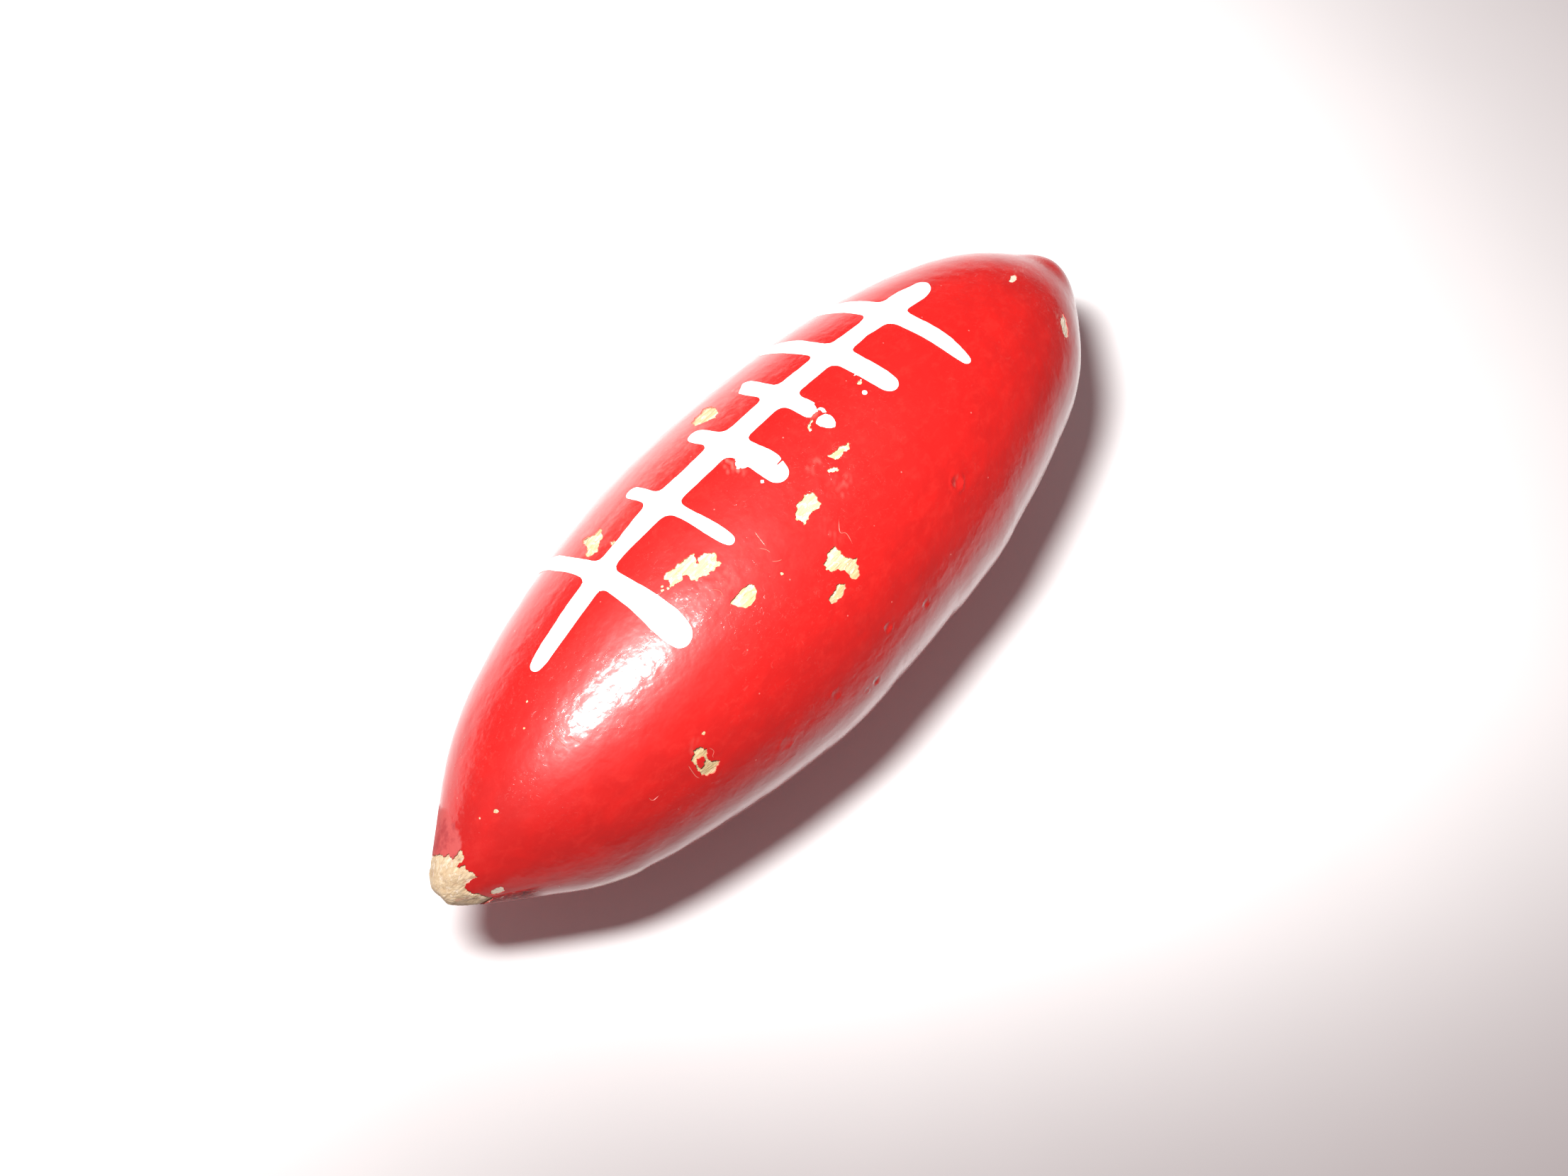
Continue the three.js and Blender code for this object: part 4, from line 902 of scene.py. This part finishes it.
BAR_3_TIP = [[4.41, 18.7], [4.44, 16.9], [4.64, 15.2], [4.89, 14], [5.17, 13.5], [5.49, 14.3], [5.74, 15.9], [5.79, 17.4], [5.64, 18.8], [5.37, 19.2], [5.04, 19.5], [4.69, 19.3]]
PHI0 = math.radians(36)
CELL = 0.095
X0, X1 = float(l_of_t(-26.6)), float(l_of_t(25.2))
Y0, Y1 = -11.2, 11.6
GX = np.arange(X0, X1, CELL)
GY = np.arange(Y0, Y1, CELL)
XX, YY = np.meshgrid(GX, GY, indexing="ij")


def capsule_field(line):
    """Signed distance, mm, from a brushed stroke with rounded ends, on the lacing grid."""
    o = np.array(line, float)
    l = l_of_t(o[:, 0])
    p = catmull(np.stack([l, radius(l) * (np.radians(o[:, 1]) - PHI0), o[:, 2] / 2], 1), 5)
    field = np.full(XX.shape, 9.0)
    for a, b in zip(p[:-1], p[1:]):
        lo, hi = np.minimum(a, b)[:2] - 2.0, np.maximum(a, b)[:2] + 2.0
        i0, i1 = np.searchsorted(GX, [lo[0], hi[0]])
        j0, j1 = np.searchsorted(GY, [lo[1], hi[1]])
        x, y = XX[i0:i1, j0:j1], YY[i0:i1, j0:j1]
        dx, dy = b[0] - a[0], b[1] - a[1]
        h = np.clip(((x - a[0]) * dx + (y - a[1]) * dy) / max(dx * dx + dy * dy, 1e-9), 0, 1)
        d = np.hypot(x - a[0] - h * dx, y - a[1] - h * dy) - (a[2] + h * (b[2] - a[2]))
        field[i0:i1, j0:j1] = np.minimum(field[i0:i1, j0:j1], d)
    return field


def smooth_min(a, b, k):
    h = np.maximum(k - np.abs(a - b), 0) / k
    return np.minimum(a, b) - h * h * k / 4


def polygon_field(outline):
    """Signed distance from a polygon given as [t, deg]."""
    o = np.array(outline, float)
    l = l_of_t(o[:, 0])
    p = np.stack([l, radius(l) * (np.radians(o[:, 1]) - PHI0)], 1)
    d = np.full(XX.shape, 1e9)
    inside_ = np.zeros(XX.shape, bool)
    for a, b in zip(p, np.roll(p, -1, 0)):
        e = b - a
        h = np.clip(((XX - a[0]) * e[0] + (YY - a[1]) * e[1]) / (e @ e), 0, 1)
        d = np.minimum(d, np.hypot(XX - a[0] - h * e[0], YY - a[1] - h * e[1]))
        cross = ((a[1] > YY) != (b[1] > YY)) & (XX < (b[0] - a[0]) * (YY - a[1]) / (b[1] - a[1] + 1e-12) + a[0])
        inside_ ^= cross
    return np.where(inside_, -d, d)


def field_noise(scale, seed):
    flat = np.stack([XX.ravel() * scale, YY.ravel() * scale, np.full(XX.size, seed * 7.7)], 1)
    return noise3(flat).reshape(XX.shape)


wobble = 0.035 * field_noise(0.9, 1) + 0.02 * field_noise(2.6, 2)
seam_field = capsule_field(SEAM) + wobble
bar_fields = {k: capsule_field(v) + wobble for k, v in BARS.items()}



def flat_field(outline):
    """Signed distance from a polygon given on the lacing grid."""
    o = np.array(outline, float)
    return polygon_field(np.stack([np.interp(o[:, 0], TL, TT), np.degrees(PHI0 + o[:, 1] / radius(o[:, 0]))], 1))


# flaked places in the white paint, taken away, and crumbs of it left standing
rough = 0.09 * field_noise(3.4, 5) + 0.05 * field_noise(7.0, 6)
FLAKES = {
    "lace_bar_3": [[[48.2, -3.1], [49.0, -3.4], [49.2, -3.75], [49.7, -3.62], [50.2, -3.7], [50.6, -3.0], [51.4, -2.7], [51.4, -5.4], [48.2, -5.4]],
                   [[48.3, 3.7], [48.7, 3.95], [50.3, 4.9], [51.2, 5.5], [51.0, 6.6], [48.0, 6.6]]],
    "lace_bar_4": [[[45.2, -4.45], [44.5, -4.6], [43.7, -4.72], [44.4, -4.8], [45.2, -4.95]]],
}
CRUMBS = {
    "lace_bar_2": [[[54.6, -4.05], [55.1, -4.0], [55.5, -3.85], [55.5, -4.25], [55.0, -4.3]], [[55.0, -3.55], [55.5, -3.65], [55.5, -3.2], [55.1, -3.2]]],
    "lace_bar_4": [[[42.6, -1.4], [42.1, -1.7], [41.78, -2.1], [41.62, -2.55], [41.8, -2.9], [42.15, -3.15], [42.6, -3.2]]],
}
for name, outlines in CRUMBS.items():
    for outline in outlines:
        f = flat_field(outline) + 0.16 + 2.4 * rough + 0.16 * field_noise(6.0, 12)
        bar_fields[name] = np.minimum(bar_fields[name], f)

union = seam_field
for f in bar_fields.values():
    union = smooth_min(union, f, 0.85)
for name, outlines in FLAKES.items():
    for outline in outlines:
        f = -(flat_field(outline) + 0.7 * rough)
        bar_fields[name] = np.maximum(bar_fields[name], f)
        union = np.maximum(union, f)
owned = {k: f - 0.30 for k, f in bar_fields.items()}
all_owned = np.minimum.reduce(list(owned.values()))

PAINT, PAINT_EDGE = 0.105, 0.022


def bead_height(u):
    """Height of the wet-looking bead at a signed distance u from its edge."""
    w = np.clip(-u / 0.42, 0, 1)
    return PAINT_EDGE + (PAINT - PAINT_EDGE) * np.sqrt(np.maximum(0, 1 - (1 - w) ** 2))


def field_solid(name, region, height_of, low=0.003):
    """A closed solid over the part of the grid where region is below 0."""
    nx, ny = region.shape
    inside_ = region < 0
    cells = inside_[:-1, :-1] | inside_[1:, :-1] | inside_[:-1, 1:] | inside_[1:, 1:]
    verts, index = [], {}

    def corner(i, j):
        key = (i, j)
        if key not in index:
            index[key] = len(verts)
            verts.append((GX[i], GY[j], height_of[i, j]))
        return index[key]

    def crossing(i, j, k, m_):
        key = (min((i, j), (k, m_)), max((i, j), (k, m_)))
        if key not in index:
            (a0, a1), (b0, b1) = key
            fa, fb = region[a0, a1], region[b0, b1]
            w = min(max(fa / (fa - fb), 0.03), 0.97)
            index[key] = len(verts)
            ha, hb = height_of[a0, a1], height_of[b0, b1]
            verts.append((GX[a0] + w * (GX[b0] - GX[a0]), GY[a1] + w * (GY[b1] - GY[a1]), ha + w * (hb - ha)))
        return index[key]

    polys, rim = [], []
    for i, j in np.argwhere(cells):
        ring_ = [(i, j), (i + 1, j), (i + 1, j + 1), (i, j + 1)]
        ins = [inside_[c] for c in ring_]
        total = sum(ins)
        if total == 4:
            polys.append([corner(*c) for c in ring_])
            continue
        if total == 2 and ins[0] == ins[2]:
            for k in range(4):
                if ins[k]:
                    p, c, n = ring_[k - 1], ring_[k], ring_[(k + 1) % 4]
                    a, b = crossing(*p, *c), crossing(*c, *n)
                    polys.append([a, corner(*c), b])
                    rim.append((b, a))
            continue
        poly, cuts = [], []
        for k in range(4):
            c, n = ring_[k], ring_[(k + 1) % 4]
            if ins[k]:
                poly.append(corner(*c))
            if ins[k] != ins[(k + 1) % 4]:
                x = crossing(*c, *n)
                poly.append(x)
                cuts.append((x, ins[k]))
        if len(poly) >= 3:
            polys.append(poly)
            a = next(x for x, was in cuts if was)
            b = next(x for x, was in cuts if not was)
            rim.append((a, b))
    v = np.array(verts)
    n = len(v)
    phi = PHI0 + v[:, 1] / radius(v[:, 0])
    base = displacement(v[:, 0], phi)
    up = surf(v[:, 0], phi, base + v[:, 2])
    down = surf(v[:, 0], phi, base + low)
    faces = [p for p in polys] + [[q + n for q in p[::-1]] for p in polys] + [[b, a, a + n, b + n] for a, b in rim]
    all_v = np.vstack([up, down])
    # outward test on the first top face
    f = polys[0]
    e = np.cross(up[f[1]] - up[f[0]], up[f[2]] - up[f[0]])
    if e @ (up[f[0]] - down[f[0]]) < 0:
        faces = [x[::-1] for x in faces]
    return make_object(name, all_v, faces)


height = bead_height(union) * (1 + 0.12 * field_noise(0.6, 9))
# a hairline crack in the seam stroke
CRACK = np.array([[32.0, -0.1], [32.5, 0.1], [32.65, 0.5], [32.5, 0.85], [32.1, 0.9]])


def crack_run(x, y):
    d = np.full(np.shape(x), 9.0)
    for a, b in zip(CRACK[:-1], CRACK[1:]):
        e = b - a
        h = np.clip(((x - a[0]) * e[0] + (y - a[1]) * e[1]) / (e @ e), 0, 1)
        d = np.minimum(d, np.hypot(x - a[0] - h * e[0], y - a[1] - h * e[1]))
    return d


height = height - 0.07 * np.exp(-(crack_run(XX, YY) / 0.09) ** 2) * (height > 0.08)
slab_region = seam_field + 0.12
slab = field_solid("under_slab", slab_region, np.full(XX.shape, 0.018), 0.003)
slab_dup = bpy.data.objects.new("under_slab_b", slab.data.copy())
bpy.context.scene.collection.objects.link(slab_dup)

seam = field_solid("lace_seam_stroke", np.maximum(union, -all_owned), height)
boolean(seam, slab_dup, "UNION")
laces = {"lace_seam_stroke": seam}
for name, f in owned.items():
    bar = field_solid(name, np.maximum(union, f), height)
    boolean(bar, slab, "DIFFERENCE", keep_cutter=True)
    laces[name] = bar
data = slab.data
bpy.data.objects.remove(slab)
bpy.data.meshes.remove(data)

tip_region = polygon_field(BAR_3_TIP) - 0.02 + 0.3 * rough
for outline in ([[50.3, -3.55], [50.62, -3.6], [50.72, -3.9], [50.55, -4.25], [50.35, -4.1], [50.45, -3.8]], [[41.85, -4.85], [42.0, -4.7], [42.15, -4.85], [42.0, -5.0]]):
    tip_region = np.minimum(tip_region, flat_field(outline) - 0.02 + 0.4 * rough)
laces["lace_bar_3_tip"] = field_solid("lace_bar_3_tip", tip_region, bead_height(tip_region))
o = np.array([[9.53, 15.0, 0.42], [9.56, 15.1, 0.42]])
drop_region = capsule_field(o.tolist())
laces["white_paint_drop"] = field_solid("white_paint_drop", drop_region, 0.02 + 0.06 * np.sqrt(np.clip(-drop_region / 0.2, 0, 1)))
for name, o in laces.items():
    clean(o)
    lv, pv, off = unsurf(coords(o.data) / MM)
    yv = radius(lv) * (pv - PHI0)
    faint = 0.5 * np.exp(-(crack_run(lv, yv) / 0.08) ** 2)
    if name == "lace_bar_4":
        faint = np.maximum(faint, 0.8 * (1 - smooth(lv, 42.0, 42.45)) * (yv < -1.2) * (yv > -3.5) * (0.35 + 1.9 * noise3(np.stack([lv * 6.5, yv * 2.6, 0 * lv], 1))))
    attribute(o.data, "faint", np.clip(faint, 0, 1))
    shade_by_angle(o.data, 50)
    finish_piece(o, [name], WHITE)

# ------------------------------------------------------------ stage and light
floor_m, nt, s = nodes_of("paper")
paper = noise(nt, mapped(nt, (0.02, 0.02, 0.02)), 1, 3)
nt.links.new(ramp(nt, paper, [(0.3, grey(0.86)), (0.7, grey(0.90))]), s.inputs["Base Color"])
s.inputs["Roughness"].default_value = 0.9
s.inputs["Specular IOR Level"].default_value = 0.2
me = bpy.data.meshes.new("floor")
me.from_pydata([(-1.5, -1.5, -2e-5), (1.5, -1.5, -2e-5), (1.5, 1.5, -2e-5), (-1.5, 1.5, -2e-5)], [], [(0, 1, 2, 3)])
floor = bpy.data.objects.new("floor", me)
me.materials.append(floor_m)
bpy.context.scene.collection.objects.link(floor)

RIGHT = Vector((0.63775108, -0.72801363, 0.25153472))
UP = Vector((0.65399805, 0.6843266, 0.32246496))

# one small soft window of light just beside the camera
key = bpy.data.lights.new("key_window", "AREA")
key.shape = "ELLIPSE"
key.size, key.size_y = 0.0376, 0.0188
key.energy = 0.45
key.color = (1.0, 0.99, 0.98)
# its beam is fuller towards the far tip than over the nose
key.use_nodes = True
lt = key.node_tree
em = next(n for n in lt.nodes if n.type == "EMISSION")
geo = node(lt, "NewGeometry")
dot = node(lt, "VectorMath", operation="DOT_PRODUCT")
dot.inputs[1].default_value = (1, 0, 0)
lt.links.new(geo.outputs["Incoming"], dot.inputs[0])
beam = math_node(lt, "ADD", 0.60, math_node(lt, "MULTIPLY", math_node(lt, "ABSOLUTE", dot.outputs["Value"]), 1.3))
beam = math_node(lt, "MINIMUM", beam, 1.45)
# and it fades on either side
for direction, start, end, share in (((-0.55, -0.83, 0), 0.08, 0.42, 0.58), ((0.0, 1.0, 0), 0.20, 0.60, 0.5)):
    side = node(lt, "VectorMath", operation="DOT_PRODUCT")
    side.inputs[1].default_value = direction
    lt.links.new(geo.outputs["Incoming"], side.inputs[0])
    fade = node(lt, "MapRange", interpolation_type="SMOOTHSTEP")
    lt.links.new(side.outputs["Value"], fade.inputs["Value"])
    for key_, v in (("From Min", start), ("From Max", end), ("To Min", 1.0), ("To Max", 1.0 - share)):
        fade.inputs[key_].default_value = v
    beam = math_node(lt, "MULTIPLY", beam, fade.outputs["Result"])
lt.links.new(beam, em.inputs["Strength"])
lamp = bpy.data.objects.new("key_window", key)
at = Vector((-0.0464, 0.0307, 0.1305))
back = (at - Vector((-0.004, 0.0, 0.012))).normalized()
across = (RIGHT * math.cos(0.2) + UP * math.sin(0.2))
across = (across - back * across.dot(back)).normalized()
lamp.matrix_world = Matrix.Translation(at) @ Matrix((across, back.cross(across), back)).transposed().to_4x4()
bpy.context.scene.collection.objects.link(lamp)

world = bpy.data.worlds.new("studio")
bpy.context.scene.world = world
world.use_nodes = True
world.node_tree.nodes["Background"].inputs[0].default_value = (1.0, 0.68, 0.70, 1)
world.node_tree.nodes["Background"].inputs[1].default_value = 0.213

cam_data = bpy.data.cameras.new("camera")
cam_data.sensor_width = 36.0
cam_data.lens = 36.0 * 2237.0 / 2212.0
cam_data.clip_start = 0.005
cam_data.clip_end = 20
cam = bpy.data.objects.new("camera", cam_data)
bpy.context.scene.collection.objects.link(cam)
back = -Vector((0.40689079, 0.04116916, -0.91254952))
rot = Matrix((RIGHT, UP, back)).transposed()
cam.matrix_world = Matrix.Translation(Vector((-0.057286, -0.007630, 0.137504))) @ rot.to_4x4()
bpy.context.scene.camera = cam

bpy.context.scene.view_settings.view_transform = "Standard"
bpy.context.scene.view_settings.look = "None"
